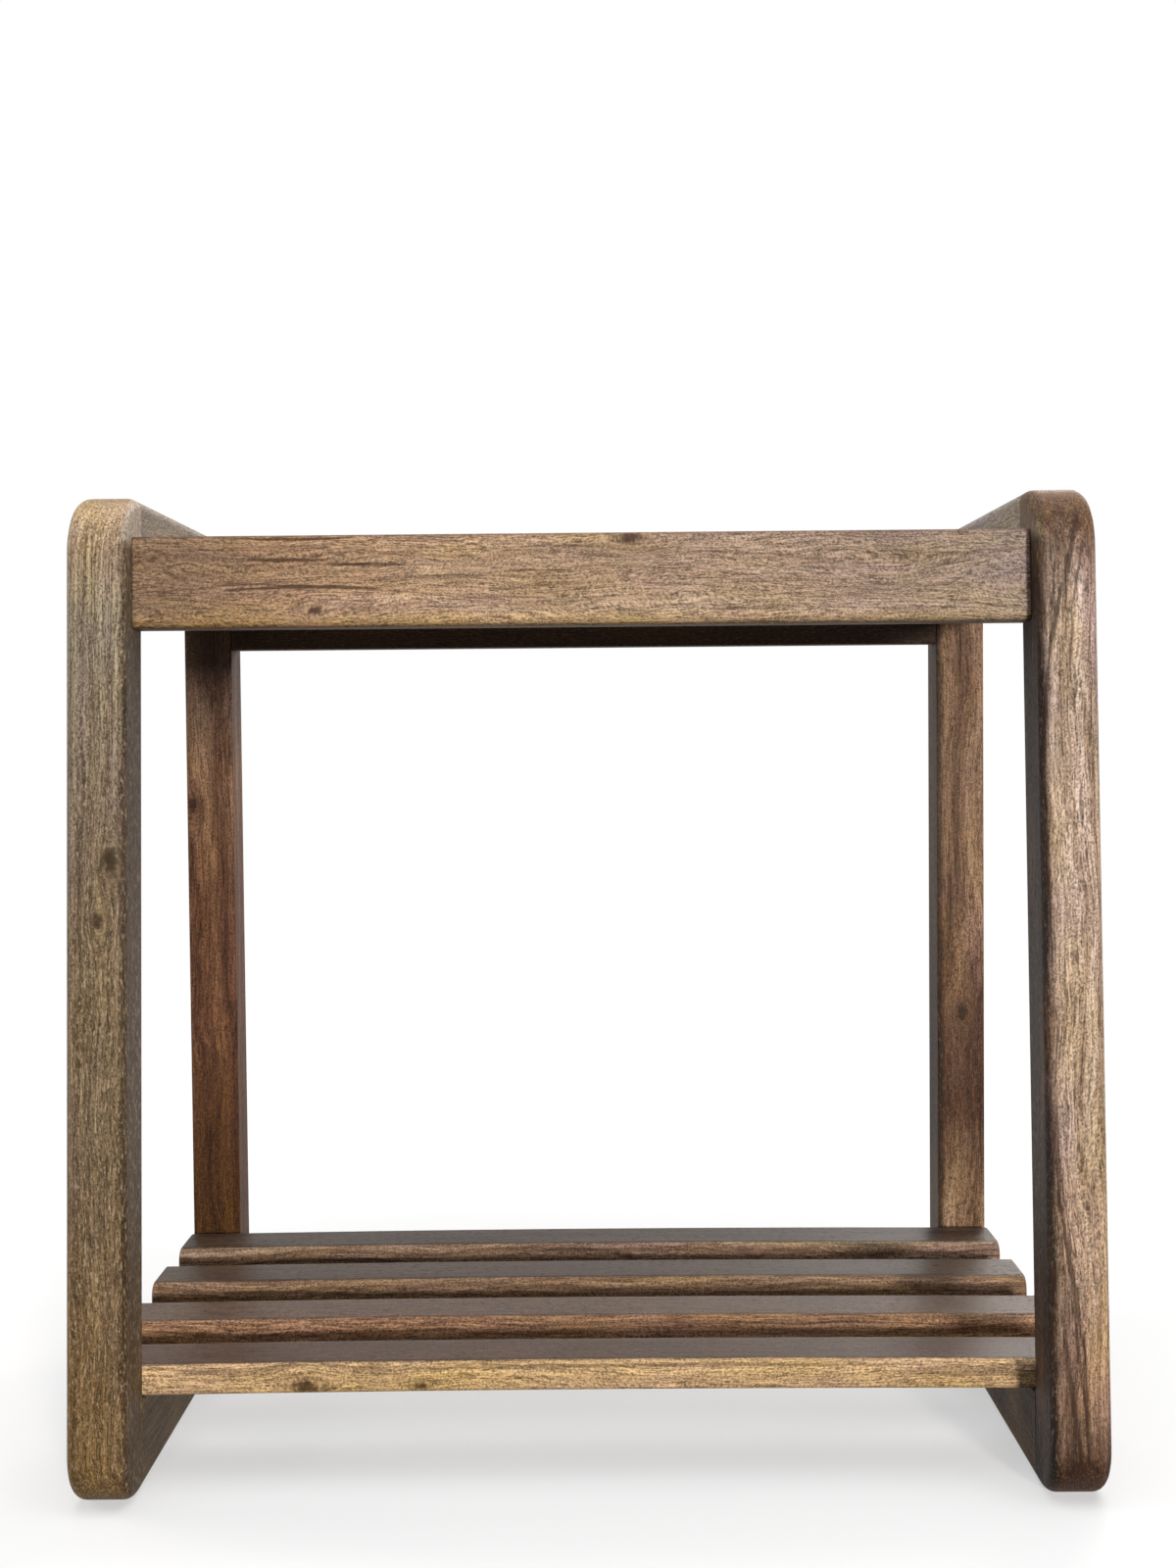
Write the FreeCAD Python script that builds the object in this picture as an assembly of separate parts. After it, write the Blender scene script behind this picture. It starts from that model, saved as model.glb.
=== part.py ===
import FreeCAD, Part
import math
import os
from FreeCAD import Vector

# Overall sizes in millimetres. X runs along the seat, Y from front to back and Z up from the floor.
bench_width = 460.0
bench_height = 452.0
# Depth is where the posts' leaning faces would meet the floor, before their corners are rounded.
foot_depth = 276.5
# Degrees by which each post leans toward the middle of its side frame.
splay_angle = 1.7

# Posts and rails of the two side frames.
post_width = 27.0
post_depth = 30.0
top_rail_height = 46.0
bottom_rail_height = 41.0
top_corner_radius = 28.0
foot_corner_radius = 25.0
outside_edge_radius = 6.0
inside_edge_radius = 5.0
window_edge_radius = 2.0

# Tenons on the ends of the side rails, and where they lie in the rail's height.
rail_tenon_thickness = 9.0
rail_tenon_length = 14.0
top_tenon_height = 18.0
top_tenon_drop = 10.0
foot_tenon_height = 20.0
foot_tenon_rise = 12.0

# Aprons between the posts, whose backs are flush with the posts' inward faces.
apron_drop = 19.0
apron_height = 42.0
apron_recess = 12.0
apron_lower_radius = 4.0
apron_upper_radius = 2.0
apron_back_radius = 1.5
apron_tenon_thickness = 8.0
apron_tenon_length = 12.0
apron_tenon_shoulder = 4.0
mortise_web = 5.0

# Slats, milled from one stock for the shelf and for the seat.
slat_width = 35.0
slat_thickness = 13.0
slat_top_radius = 6.0
slat_bottom_radius = 2.0
slat_end_chamfer = 0.8
shelf_slat_count = 4
seat_slat_count = 4
shelf_side_clearance = 1.2
seat_end_clearance = 0.6

# Cleats under the seat slats' ends, tongued into the top rails and flush with their undersides.
cleat_width = 18.0
cleat_edge_radius = 1.5
cleat_end_clearance = 0.3
cleat_tongue_thickness = 5.0
cleat_tongue_depth = 6.0
cleat_tongue_setback = 8.0

# Loose tenons, glued half in a slat's underside and half in the rail or cleat that carries it.
loose_tenon_thickness = 6.0
loose_tenon_width = 18.0
loose_tenon_in_slat = 8.0
loose_tenon_in_rail = 14.0
loose_tenon_in_cleat = 9.0

# Clearances: round a glued tenon or tongue, and past its end.
joint_clearance = 0.15
glue_pocket = 1.2

# How far a cut runs past the face that it leaves by, and how near two lengths count as the same.
overrun = 2.0
alike_within = 1e-4

# Planes and places worked out from the sizes above.
slope = math.tan(math.radians(splay_angle))
outer_x = bench_width / 2
inner_x = outer_x - post_width
frame_middle_x = outer_x - post_width / 2
shelf_underside = bottom_rail_height
shelf_top = shelf_underside + slat_thickness
seat_top = bench_height - apron_drop
seat_underside = seat_top - slat_thickness
apron_bottom = seat_top - apron_height
window_top = bench_height - top_rail_height
cleat_bottom = window_top
cleat_height = seat_underside - cleat_bottom
top_tenon_high = bench_height - top_tenon_drop
top_tenon_low = top_tenon_high - top_tenon_height
foot_tenon_high = foot_tenon_rise + foot_tenon_height

parts = {}


def front_plane(inset, height):
    """Y, at a height, of the leaning plane that lies this far behind the front posts' faces."""
    return -foot_depth / 2 + inset + slope * height


def prism_along_x(outline, start, length):
    """Solid between two planes square to X, on an outline of (y, z) pairs."""
    points = [Vector(start, y, z) for y, z in outline]
    face = Part.Face(Part.makePolygon(points + points[:1]))
    return face.extrude(Vector(length, 0, 0))


def leaning_outline(near, far, low, high):
    """Four-sided outline between two leaning planes and two heights."""
    return [
        (front_plane(near, low), low),
        (front_plane(far, low), low),
        (front_plane(far, high), high),
        (front_plane(near, high), high),
    ]


def frame_outline(inset, low, high):
    """Outline that narrows upward as the side frames do, inset from front and back alike."""
    return [
        (front_plane(inset, low), low),
        (-front_plane(inset, low), low),
        (-front_plane(inset, high), high),
        (front_plane(inset, high), high),
    ]


def same(first, second):
    return math.isclose(first, second, abs_tol=alike_within)


def spans_x(edge):
    """True for a straight edge that runs along X only."""
    box = edge.BoundBox
    return same(box.YLength, 0) and same(box.ZLength, 0)


def lies_at_x(edge, place):
    """True for an edge that lies wholly in the plane X = place."""
    box = edge.BoundBox
    return same(box.XMin, place) and same(box.XMax, place)


def in_window(edge):
    """True for an edge that lies between the rails and between the posts of a side frame."""
    box = edge.BoundBox
    middle = (box.ZMin + box.ZMax) / 2
    between_rails = bottom_rail_height - overrun < middle < window_top + overrun
    depth = max(abs(box.YMin), abs(box.YMax))
    return between_rails and depth < -front_plane(post_depth - overrun, bottom_rail_height)


def flip_y(shape):
    return shape.mirror(Vector(0, 0, 0), Vector(0, 1, 0))


def flip_x(shape):
    return shape.mirror(Vector(0, 0, 0), Vector(1, 0, 0))


# Side frame: one rounded blank, parted at the joint lines.

def frame_blank():
    """Left side frame as one piece: rounded corners, window, and all its edges rounded over."""
    blank = prism_along_x(frame_outline(0, 0, bench_height), -outer_x, post_width)
    corners = [edge for edge in blank.Edges if spans_x(edge)]
    top_corners = [edge for edge in corners if same(edge.BoundBox.ZMax, bench_height)]
    blank = blank.makeFillet(top_corner_radius, top_corners)
    foot_corners = [edge for edge in blank.Edges if spans_x(edge) and same(edge.BoundBox.ZMax, 0)]
    foot_corners = [edge for edge in foot_corners if same(edge.Length, post_width)]
    blank = blank.makeFillet(foot_corner_radius, foot_corners)
    outside = [edge for edge in blank.Edges if lies_at_x(edge, -outer_x)]
    blank = blank.makeFillet(outside_edge_radius, outside)
    inside = [edge for edge in blank.Edges if lies_at_x(edge, -inner_x)]
    blank = blank.makeFillet(inside_edge_radius, inside)
    window_outline = frame_outline(post_depth, bottom_rail_height, window_top)
    window = prism_along_x(window_outline, -outer_x - overrun, post_width + 2 * overrun)
    blank = blank.cut(window)
    faces = (-outer_x, -inner_x)
    rims = [edge for edge in blank.Edges if in_window(edge) and any(lies_at_x(edge, x) for x in faces)]
    return blank.makeFillet(window_edge_radius, rims)


def post_zone():
    """Room that holds a front post: all that lies before its inward face."""
    outline = leaning_outline(-overrun, post_depth, -overrun, bench_height + overrun)
    return prism_along_x(outline, -outer_x - overrun, post_width + 2 * overrun)


def rail_zone():
    """Room between the front and rear posts' inward faces."""
    outline = frame_outline(post_depth, -overrun, bench_height + overrun)
    return prism_along_x(outline, -outer_x - overrun, post_width + 2 * overrun)


def rail_tenon(low, high, growth, extra_depth):
    """Front tenon of a left-hand rail, or its mortise when grown and deepened."""
    tip = post_depth - rail_tenon_length - extra_depth
    outline = leaning_outline(tip, post_depth + overrun, low - growth, high + growth)
    thickness = rail_tenon_thickness + 2 * growth
    return prism_along_x(outline, -frame_middle_x - thickness / 2, thickness)


def apron_tenon(start, length, growth):
    """Tenon bar of the front apron, or the mortises' bar when grown."""
    thickness = apron_tenon_thickness + 2 * growth
    middle = (apron_recess + post_depth) / 2
    low = apron_bottom + apron_tenon_shoulder - growth
    high = top_tenon_low - mortise_web + growth
    outline = leaning_outline(middle - thickness / 2, middle + thickness / 2, low, high)
    return prism_along_x(outline, start, length)


def make_front_post(blank):
    """Left front post with mortises for both side rails and for the apron."""
    post = blank.common(post_zone())
    for low, high in ((top_tenon_low, top_tenon_high), (foot_tenon_rise, foot_tenon_high)):
        post = post.cut(rail_tenon(low, high, joint_clearance, glue_pocket))
    depth = apron_tenon_length + glue_pocket
    post = post.cut(apron_tenon(-inner_x - depth, depth + overrun, joint_clearance))
    return post.Solids[0]


def make_rail(blank, low, high, is_top):
    """Left-hand rail with a tenon at each end."""
    pieces = blank.common(rail_zone()).Solids
    pieces.sort(key=lambda solid: solid.CenterOfMass.z)
    rail = pieces[-1] if is_top else pieces[0]
    tenon = rail_tenon(low, high, 0, 0)
    return rail.fuse([tenon, flip_y(tenon)]).removeSplitter().Solids[0]


# Aprons.

def make_front_apron():
    """Board that leans with the posts, rounded along its long edges and tenoned at both ends."""
    outline = leaning_outline(apron_recess, post_depth, apron_bottom, seat_top)
    board = prism_along_x(outline, -inner_x, 2 * inner_x)
    long_edges = [edge for edge in board.Edges if spans_x(edge)]
    lower = [edge for edge in long_edges if same(edge.BoundBox.ZMin, apron_bottom)]
    lower.sort(key=lambda edge: edge.BoundBox.YMin)
    board = board.makeFillet(apron_lower_radius, lower[:1])
    upper = [edge for edge in board.Edges if spans_x(edge) and same(edge.BoundBox.ZMin, seat_top)]
    upper.sort(key=lambda edge: edge.BoundBox.YMin)
    board = board.makeFillet(apron_upper_radius, upper[:1])
    back_y = (front_plane(post_depth, apron_bottom), front_plane(post_depth, seat_top))
    long_edges = [edge for edge in board.Edges if spans_x(edge)]
    back = [edge for edge in long_edges if any(same(edge.BoundBox.YMin, y) for y in back_y)]
    board = board.makeFillet(apron_back_radius, back)
    reach = inner_x + apron_tenon_length
    return board.fuse(apron_tenon(-reach, 2 * reach, 0)).removeSplitter().Solids[0]


# Slats, cleats and what holds them.

def slat_bar(half_length, middle_y, underside):
    """Slat with its two upper long edges rounded wide and its lower ones eased."""
    near = middle_y - slat_width / 2
    far = middle_y + slat_width / 2
    top = underside + slat_thickness
    outline = [(near, underside), (far, underside), (far, top), (near, top)]
    bar = prism_along_x(outline, -half_length, 2 * half_length)
    upper = [edge for edge in bar.Edges if spans_x(edge) and same(edge.BoundBox.ZMin, top)]
    bar = bar.makeFillet(slat_top_radius, upper)
    lower = [edge for edge in bar.Edges if spans_x(edge) and same(edge.BoundBox.ZMin, underside)]
    return bar.makeFillet(slat_bottom_radius, lower)


def shelf_slat(middle_y):
    """Shelf slat, out to the side frames' outer faces, with its end grain chamfered all round."""
    bar = slat_bar(outer_x, middle_y, shelf_underside)
    ends = [edge for edge in bar.Edges if lies_at_x(edge, outer_x) or lies_at_x(edge, -outer_x)]
    return bar.makeChamfer(slat_end_chamfer, ends)


def shelf_slat_places():
    """Middle Y of each shelf slat: the outer two lie close to the posts' inward faces."""
    last = -front_plane(post_depth + shelf_side_clearance, shelf_top) - slat_width / 2
    pitch = 2 * last / (shelf_slat_count - 1)
    return [-last + pitch * index for index in range(shelf_slat_count)]


def seat_slat_places():
    """Middle Y of each seat slat, with even gaps between them and to the aprons."""
    clear_depth = -2 * front_plane(post_depth, seat_top)
    gap = (clear_depth - seat_slat_count * slat_width) / (seat_slat_count + 1)
    pitch = slat_width + gap
    first = -pitch * (seat_slat_count - 1) / 2
    return [first + pitch * index for index in range(seat_slat_count)]


def box_about(middle, size_x, size_y, low, high):
    """Upright block about a point, from low below it to high above it."""
    corner = Vector(middle.x - size_x / 2, middle.y - size_y / 2, middle.z - low)
    return Part.makeBox(size_x, size_y, low + high, corner)


def loose_tenon(middle, below, growth, extra_depth):
    """Loose tenon about the plane between a slat and its bearer, or its mortises when grown."""
    thickness = loose_tenon_thickness + 2 * growth
    width = loose_tenon_width + 2 * growth
    return box_about(middle, thickness, width, below + extra_depth, loose_tenon_in_slat + extra_depth)


def shelf_tenons(growth, extra_depth):
    """Loose tenon, or mortise, wherever a shelf slat crosses a bottom rail."""
    below = loose_tenon_in_rail
    sides = (-frame_middle_x, frame_middle_x)
    crossings = [Vector(x, y, shelf_underside) for x in sides for y in shelf_slat_places()]
    return [loose_tenon(crossing, below, growth, extra_depth) for crossing in crossings]


def seat_tenons(growth, extra_depth):
    """Loose tenon, or mortise, wherever a seat slat lies on a cleat."""
    below = loose_tenon_in_cleat
    reach = inner_x - cleat_width / 2
    crossings = [Vector(x, y, seat_underside) for x in (-reach, reach) for y in seat_slat_places()]
    return [loose_tenon(crossing, below, growth, extra_depth) for crossing in crossings]


def cleat_half_length():
    """Half the room between the aprons where it is least, at the cleat's top face."""
    return -front_plane(post_depth, seat_underside) - cleat_end_clearance


def cleat_tongue(growth, extra_depth):
    """Tongue along the left cleat's back, let into the top rail, or its groove when grown."""
    half = cleat_half_length() - cleat_tongue_setback + growth
    low = cleat_bottom + (cleat_height - cleat_tongue_thickness) / 2 - growth
    high = low + cleat_tongue_thickness + 2 * growth
    depth = cleat_tongue_depth + extra_depth
    outline = [(-half, low), (half, low), (half, high), (-half, high)]
    return prism_along_x(outline, -inner_x - depth, depth)


def make_cleat():
    """Left cleat: a batten on the top rail's inner face, eased along its free lower edge."""
    half = cleat_half_length()
    lower_edge = [(-half, cleat_bottom), (half, cleat_bottom)]
    upper_edge = [(half, seat_underside), (-half, seat_underside)]
    batten = prism_along_x(lower_edge + upper_edge, -inner_x, cleat_width)
    rim = [edge for edge in batten.Edges if lies_at_x(edge, cleat_width - inner_x)]
    lower = [edge for edge in rim if same(edge.BoundBox.ZMax, cleat_bottom)]
    batten = batten.makeFillet(cleat_edge_radius, lower)
    return batten.fuse(cleat_tongue(0, 0)).removeSplitter()


def cut_all(shape, tools):
    """Shape less those of the tools whose boxes reach it."""
    near = [tool for tool in tools if shape.BoundBox.intersect(tool.BoundBox)]
    return shape.cut(near).Solids[0] if near else shape


blank = frame_blank()
shelf_mortises = shelf_tenons(joint_clearance, glue_pocket)
seat_mortises = seat_tenons(joint_clearance, glue_pocket)
cleat_groove = cleat_tongue(joint_clearance, glue_pocket)

front_post = make_front_post(blank)
parts["left_front_post"] = front_post
parts["left_rear_post"] = flip_y(front_post)
parts["right_front_post"] = flip_x(front_post)
parts["right_rear_post"] = flip_x(flip_y(front_post))

top_rail = make_rail(blank, top_tenon_low, top_tenon_high, True).cut(cleat_groove).Solids[0]
parts["left_top_rail"] = top_rail
parts["right_top_rail"] = flip_x(top_rail)

bottom_rail = cut_all(make_rail(blank, foot_tenon_rise, foot_tenon_high, False), shelf_mortises)
parts["left_bottom_rail"] = bottom_rail
parts["right_bottom_rail"] = flip_x(bottom_rail)

front_apron = make_front_apron()
parts["front_apron"] = front_apron
parts["rear_apron"] = flip_y(front_apron)

for number, middle_y in enumerate(shelf_slat_places(), 1):
    parts[f"shelf_slat_{number}"] = cut_all(shelf_slat(middle_y), shelf_mortises)

for number, middle_y in enumerate(seat_slat_places(), 1):
    slat = slat_bar(inner_x - seat_end_clearance, middle_y, seat_underside)
    parts[f"seat_slat_{number}"] = cut_all(slat, seat_mortises)

cleat = cut_all(make_cleat(), seat_mortises)
parts["left_seat_cleat"] = cleat
parts["right_seat_cleat"] = flip_x(cleat)

parts["shelf_loose_tenons"] = Part.makeCompound(shelf_tenons(0, 0))
parts["seat_loose_tenons"] = Part.makeCompound(seat_tenons(0, 0))

os.makedirs("parts", exist_ok=True)
for name, shape in parts.items():
    shape.exportStep(f"parts/{name}.step")
    print(name, "solids:", len(shape.Solids), "valid:", shape.isValid(), "volume:", round(shape.Volume))
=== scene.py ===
"""Small slatted bench in oiled hardwood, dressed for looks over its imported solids.

The file is laid out as an add-on. Sizes and colours are properties of the scene, and one operator makes each
group of like pieces. Lengths in the tables are in millimetres, as is the space that the grain is drawn in.
"""
import math
from collections import namedtuple

import bmesh
import bpy
from mathutils import Matrix, Vector


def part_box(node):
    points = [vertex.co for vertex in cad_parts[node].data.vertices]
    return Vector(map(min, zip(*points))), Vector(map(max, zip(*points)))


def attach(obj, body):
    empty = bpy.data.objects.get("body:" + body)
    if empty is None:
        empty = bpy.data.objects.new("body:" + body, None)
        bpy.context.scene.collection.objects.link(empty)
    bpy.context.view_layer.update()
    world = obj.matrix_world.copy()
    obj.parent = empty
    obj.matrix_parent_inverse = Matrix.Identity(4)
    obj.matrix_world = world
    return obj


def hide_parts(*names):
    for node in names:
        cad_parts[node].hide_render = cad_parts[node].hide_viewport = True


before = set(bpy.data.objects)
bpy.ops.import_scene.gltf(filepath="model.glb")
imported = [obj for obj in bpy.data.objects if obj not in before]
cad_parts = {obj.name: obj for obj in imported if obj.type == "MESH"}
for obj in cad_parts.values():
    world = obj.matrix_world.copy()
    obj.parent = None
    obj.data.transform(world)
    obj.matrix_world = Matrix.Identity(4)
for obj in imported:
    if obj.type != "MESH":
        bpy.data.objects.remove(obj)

bl_info = {
    "name": "Slatted Bench",
    "version": (1, 0, 0),
    "blender": (4, 5, 0),
    "location": "View3D > Sidebar > Bench",
    "description": "Makes a small slatted bench with rounded side frames in oiled hardwood",
    "category": "Add Mesh",
}

MM = 0.001
BODY = "root"

# Segments of a rounded edge, of a rounded corner, and stations along a slat.
EDGE_STEPS = 6
CORNER_STEPS = 14
SLAT_STATIONS = 49
# Share of half a slat's length beyond which its last ring of points lies.
LAST_RING = 0.9999
# Coordinates closer than this are the same.
SAME_PLACE = 0.01 * MM
# Two neighbouring faces that turn by less than this count as one flat face, and by more as a sharp edge.
FLAT_TURN = math.radians(4)
SHARP_TURN = math.radians(38)

# Sides and ends of the bench, and whether a left front board has to be mirrored for them.
SIDES = (("left", False), ("right", True))
ENDS = (("front", False), ("rear", True))

# Colours of each board, which has its solid's name: dark, middle and pale figure, then the pores.
BOARD_COLOURS = {
    "left_front_post": ("614e38", "957e68", "bea78a", "33271a"),
    "right_front_post": ("715744", "b29987", "d7c0af", "2b1a10"),
    "left_rear_post": ("4c3222", "7e5e48", "9a7959", "2a170d"),
    "right_rear_post": ("563f2f", "8a6a55", "a4846d", "2c1b10"),
    "left_top_rail": ("645546", "978571", "b6a38c", "30251a"),
    "right_top_rail": ("605143", "928070", "b09d8a", "30251a"),
    "left_bottom_rail": ("37291a", "5d4b33", "735f44", "20170e"),
    "right_bottom_rail": ("352516", "5a442f", "70573e", "20140b"),
    "front_apron": ("775d47", "a88b74", "c2a78d", "3a241a"),
    "rear_apron": ("523a2a", "80624b", "9b7c61", "2c1a10"),
    "shelf_slat_1": ("473321", "6c5643", "84705d", "3a2413"),
    "shelf_slat_2": ("4e301f", "88664c", "a88466", "2c170c"),
    "shelf_slat_3": ("3f2d22", "785d48", "997e62", "1f130b"),
    "shelf_slat_4": ("4a3527", "7e6352", "9b8470", "26180e"),
    "seat_slat_1": ("5e412b", "9a7858", "b79572", "2e1c11"),
    "seat_slat_2": ("573a28", "8f6b4e", "ad8765", "2c1a10"),
    "seat_slat_3": ("6a4b33", "a5845f", "c3a27b", "382415"),
    "seat_slat_4": ("503624", "886648", "a58361", "29190f"),
    "left_seat_cleat": ("5c4630", "947a58", "b09672", "33251a"),
    "right_seat_cleat": ("5a432e", "907455", "ad906d", "33251a"),
    "loose_tenons": ("a58457", "c9ab7c", "dfc59a", "7d6040"),
}

# How the figure of each board lies. Pith is the place of the tree's middle beside the board and ring the mean
# width of a growth band, in millimetres. Warp is how far the bands wander. Figure is how strong they are,
# streak how many thin dark lines there are, heart how much dark heartwood, and fleck how many pale flecks.
Figure = namedtuple("Figure", "pith ring warp figure streak heart fleck seed")
BOARD_FIGURE = {
    "left_front_post": Figure((-262, -108), 5.5, 5, 0.60, 0.35, 0.10, 0.55, 11),
    "right_front_post": Figure((188, -160), 6.0, 7, 0.60, 0.60, 0.35, 0.15, 23),
    "left_rear_post": Figure((-250, 160), 5.0, 6, 0.60, 0.45, 0.30, 0.15, 37),
    "right_rear_post": Figure((255, 175), 6.0, 7, 0.60, 0.40, 0.30, 0.20, 41),
    "left_top_rail": Figure((-190, 400), 6.0, 5, 0.50, 0.40, 0.10, 0.40, 53),
    "right_top_rail": Figure((190, 405), 6.0, 5, 0.50, 0.40, 0.10, 0.40, 59),
    "left_bottom_rail": Figure((-240, -20), 5.0, 5, 0.60, 0.40, 0.25, 0.20, 61),
    "right_bottom_rail": Figure((240, -25), 5.0, 5, 0.60, 0.40, 0.25, 0.20, 67),
    "front_apron": Figure((-180, 380), 7.0, 9, 0.50, 0.45, 0.10, 0.15, 71),
    "rear_apron": Figure((180, 390), 6.0, 7, 0.50, 0.40, 0.30, 0.20, 73),
    "shelf_slat_1": Figure((-120, 20), 7.0, 6, 0.50, 0.35, 0.15, 0.20, 79),
    "shelf_slat_2": Figure((-60, 10), 5.0, 6, 0.60, 0.40, 0.30, 0.15, 83),
    "shelf_slat_3": Figure((10, 15), 5.0, 6, 0.60, 0.40, 0.40, 0.10, 89),
    "shelf_slat_4": Figure((70, 8), 6.0, 7, 0.70, 0.40, 0.45, 0.15, 97),
    "seat_slat_1": Figure((-80, 395), 6.0, 6, 0.70, 0.40, 0.30, 0.25, 101),
    "seat_slat_2": Figure((-30, 400), 5.5, 6, 0.70, 0.40, 0.35, 0.25, 103),
    "seat_slat_3": Figure((40, 398), 6.5, 6, 0.60, 0.40, 0.20, 0.30, 107),
    "seat_slat_4": Figure((90, 392), 5.0, 6, 0.70, 0.40, 0.35, 0.25, 109),
    "left_seat_cleat": Figure((-170, 430), 6.0, 4, 0.60, 0.40, 0.20, 0.20, 113),
    "right_seat_cleat": Figure((170, 430), 6.0, 4, 0.60, 0.40, 0.20, 0.20, 127),
    "loose_tenons": Figure((0, 300), 4.0, 3, 0.50, 0.10, 0.00, 0.10, 131),
}

# Tones: places along the grain and the tint there, where a board isn't even from end to end. The tints are
# partly the wood's own tone and partly painted shade, which darkens the posts low down.
BOARD_TONES = {
    "left_front_post": [
        (58, "bdb18f"), (168, "bebeb2"), (279, "c5c4c8"), (363, "d8e2eb"), (395, "d9e8f0"), (427, "ffffff"),
    ],
    "right_front_post": [
        (20, "553c26"), (58, "e5d4cc"), (110, "f2ece4"), (168, "e9e6e4"), (279, "fffff8"), (370, "e6e6ea"),
        (405, "f8f6ff"), (438, "867057"),
    ],
    "left_rear_post": [
        (70, "978256"), (113, "a48d74"), (170, "cfbcbb"), (250, "dfcfd2"), (320, "ffffff"), (352, "cccfe3"),
    ],
    "right_rear_post": [
        (70, "fafff5"), (118, "897768"), (170, "a79b98"), (250, "ffffff"), (330, "eef3f2"), (360, "e7e5e8"),
    ],
    "front_apron": [
        (-185, "ccc7c1"), (-130, "ede6da"), (-60, "fffffb"), (20, "f2f5f0"), (90, "eef4ff"), (150, "e1e8f6"),
        (188, "dde7ff"),
    ],
}

# Knots: place along the grain and in the two ways across it, and radius.
BOARD_KNOTS = {
    "left_front_post": [(287, -208.8, -130, 3.4), (261, -214.5, -130, 2.4)],
    "left_rear_post": [(302, -227, 99, 3.0)],
    "right_rear_post": [(178, 217, 103, 3.4)],
    "front_apron": [(-120.3, -114.4, 398.7, 1.9), (22.4, -113, 430, 2.8)],
    "shelf_slat_1": [(-129, -106, 45.5, 3.2), (-76, -106, 45.2, 1.7)],
}

# Marks: dark lens-shaped streaks. Place along and in the two ways across the grain, half length, half width,
# bow and slant across the grain, and strength.
BOARD_MARKS = {
    "left_front_post": [
        (288.6, -209.8, -130, 8.0, 1.0, 0, -2.1, 0.8), (289.4, -207, -130, 6.6, 0.9, 0, 1.8, 0.8),
        (324, -221, -129, 2.6, 1.5, 0, 0, 0.45), (255.5, -211, -131, 1.6, 0.7, 0, 0, 0.7),
        (352, -216, -128, 26, 1.3, 1, 1, 0.3), (395, -209, -127, 18, 1.0, 1, 0, 0.25),
        (150, -218, -133, 30, 1.2, 1, -1, 0.25), (80, -210, -135, 26, 1.4, -1, 0, 0.3),
    ],
    "right_front_post": [
        (424.3, 217.9, -125.7, 24, 1.5, -2.0, -5.5, 0.75), (392, 210.2, -126.6, 23, 1.5, -1.5, -4.7, 0.75),
        (356, 205.6, -127.7, 30, 1.1, -0.9, -2.0, 0.65), (402, 209.5, -126.3, 10, 1.4, 0, -1, 0.6),
        (428, 211.5, -125.5, 50, 6.5, -1, -6, 0.45), (60, 210.5, -136.3, 85, 6.0, -0.4, 6, 0.45),
        (440, 221.5, -125.3, 16, 2.0, 0, -5, 0.45), (412, 220.5, -126, 22, 0.8, 0, -4, 0.6),
        (70, 214.8, -136, 40, 0.9, 0, 4, 0.6), (282, 205.4, -129.9, 55, 0.9, -0.3, 1, 0.6),
        (152, 207.3, -133.7, 28, 1.5, 0, 0.6, 0.6), (102.7, 212.5, -135.2, 44, 1.7, -0.4, 6.6, 0.7),
        (46, 218.0, -136.9, 40, 1.4, 0, 1, 0.7), (51, 211.8, -136.7, 46, 1.6, -0.4, 5.3, 0.65),
    ],
    "left_rear_post": [(331, -205, 98, 14, 0.6, 0, 0, 0.7), (250, -217, 100, 30, 1.8, 1, 0, 0.3)],
    "right_rear_post": [(386, 216.5, 97, 20, 0.6, 0.6, 0, 0.9), (240, 210, 101, 34, 1.8, 2, 0, 0.35)],
    "front_apron": [
        (-134, -114, 421.8, 24, 1.2, 0.6, 0.3, 0.8), (-107, -114, 419.6, 12, 0.8, 0, 0, 0.65),
        (-126, -114, 409.6, 48, 1.2, 3.0, 0, 0.8), (-92, -114, 419.5, 20, 0.9, 0.3, 0.2, 0.75),
        (-130, -113, 431, 34, 0.9, -1, 0, 0.8), (-150, -114, 411, 24, 0.8, 3, 0, 0.6),
        (-60, -114, 414, 22, 0.7, 0.5, 0, 0.6), (-20, -114, 416, 20, 0.7, 0.4, 0, 0.5),
        (8, -114, 423, 14, 0.6, 0, 0, 0.5), (128, -114, 406, 8, 4.5, 0, 0, 0.22),
        (107, -114, 421, 7, 3.5, 4, 0, 0.25), (35, -114, 412, 4, 20, 0, 0, 0.10),
        (60, -114, 424, 18, 0.6, 0, 0, 0.45), (165, -114, 417, 16, 0.8, 0.5, -3, 0.5),
        (-185, -114, 424, 18, 4, 4, 0, 0.2), (-30, -114, 404, 26, 0.6, 0.4, 0, 0.45),
        (80, -114, 410, 16, 0.5, 0.4, 0, 0.4), (-10, -114, 427, 20, 0.7, 0, 0, 0.5),
    ],
    "rear_apron": [(-60, 110, 400, 40, 1.2, 2, 0, 0.4), (90, 110, 412, 34, 1.0, 1, 0, 0.4)],
    "shelf_slat_1": [
        (-160, -103, 51.5, 50, 2.0, -2, 0, 0.5), (-100, -103, 52, 18, 2.5, 2, 0, 0.35),
        (20, -101, 53, 180, 1.2, 1, 0, 0.5), (175, -104, 50, 46, 3.2, 2, 1, 0.45),
    ],
    "shelf_slat_2": [(40, -46, 52, 120, 1.1, 1, 0, 0.45), (-60, -46, 46, 90, 0.9, 1, 0, 0.35)],
    "shelf_slat_3": [(-150, 12, 49, 60, 1.2, 2, 1, 0.4)],
    "shelf_slat_4": [(-140, 72, 48, 60, 1.2, 3, 0, 0.55), (0, 72, 52, 90, 1.0, 2, 0, 0.45)],
}
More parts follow.
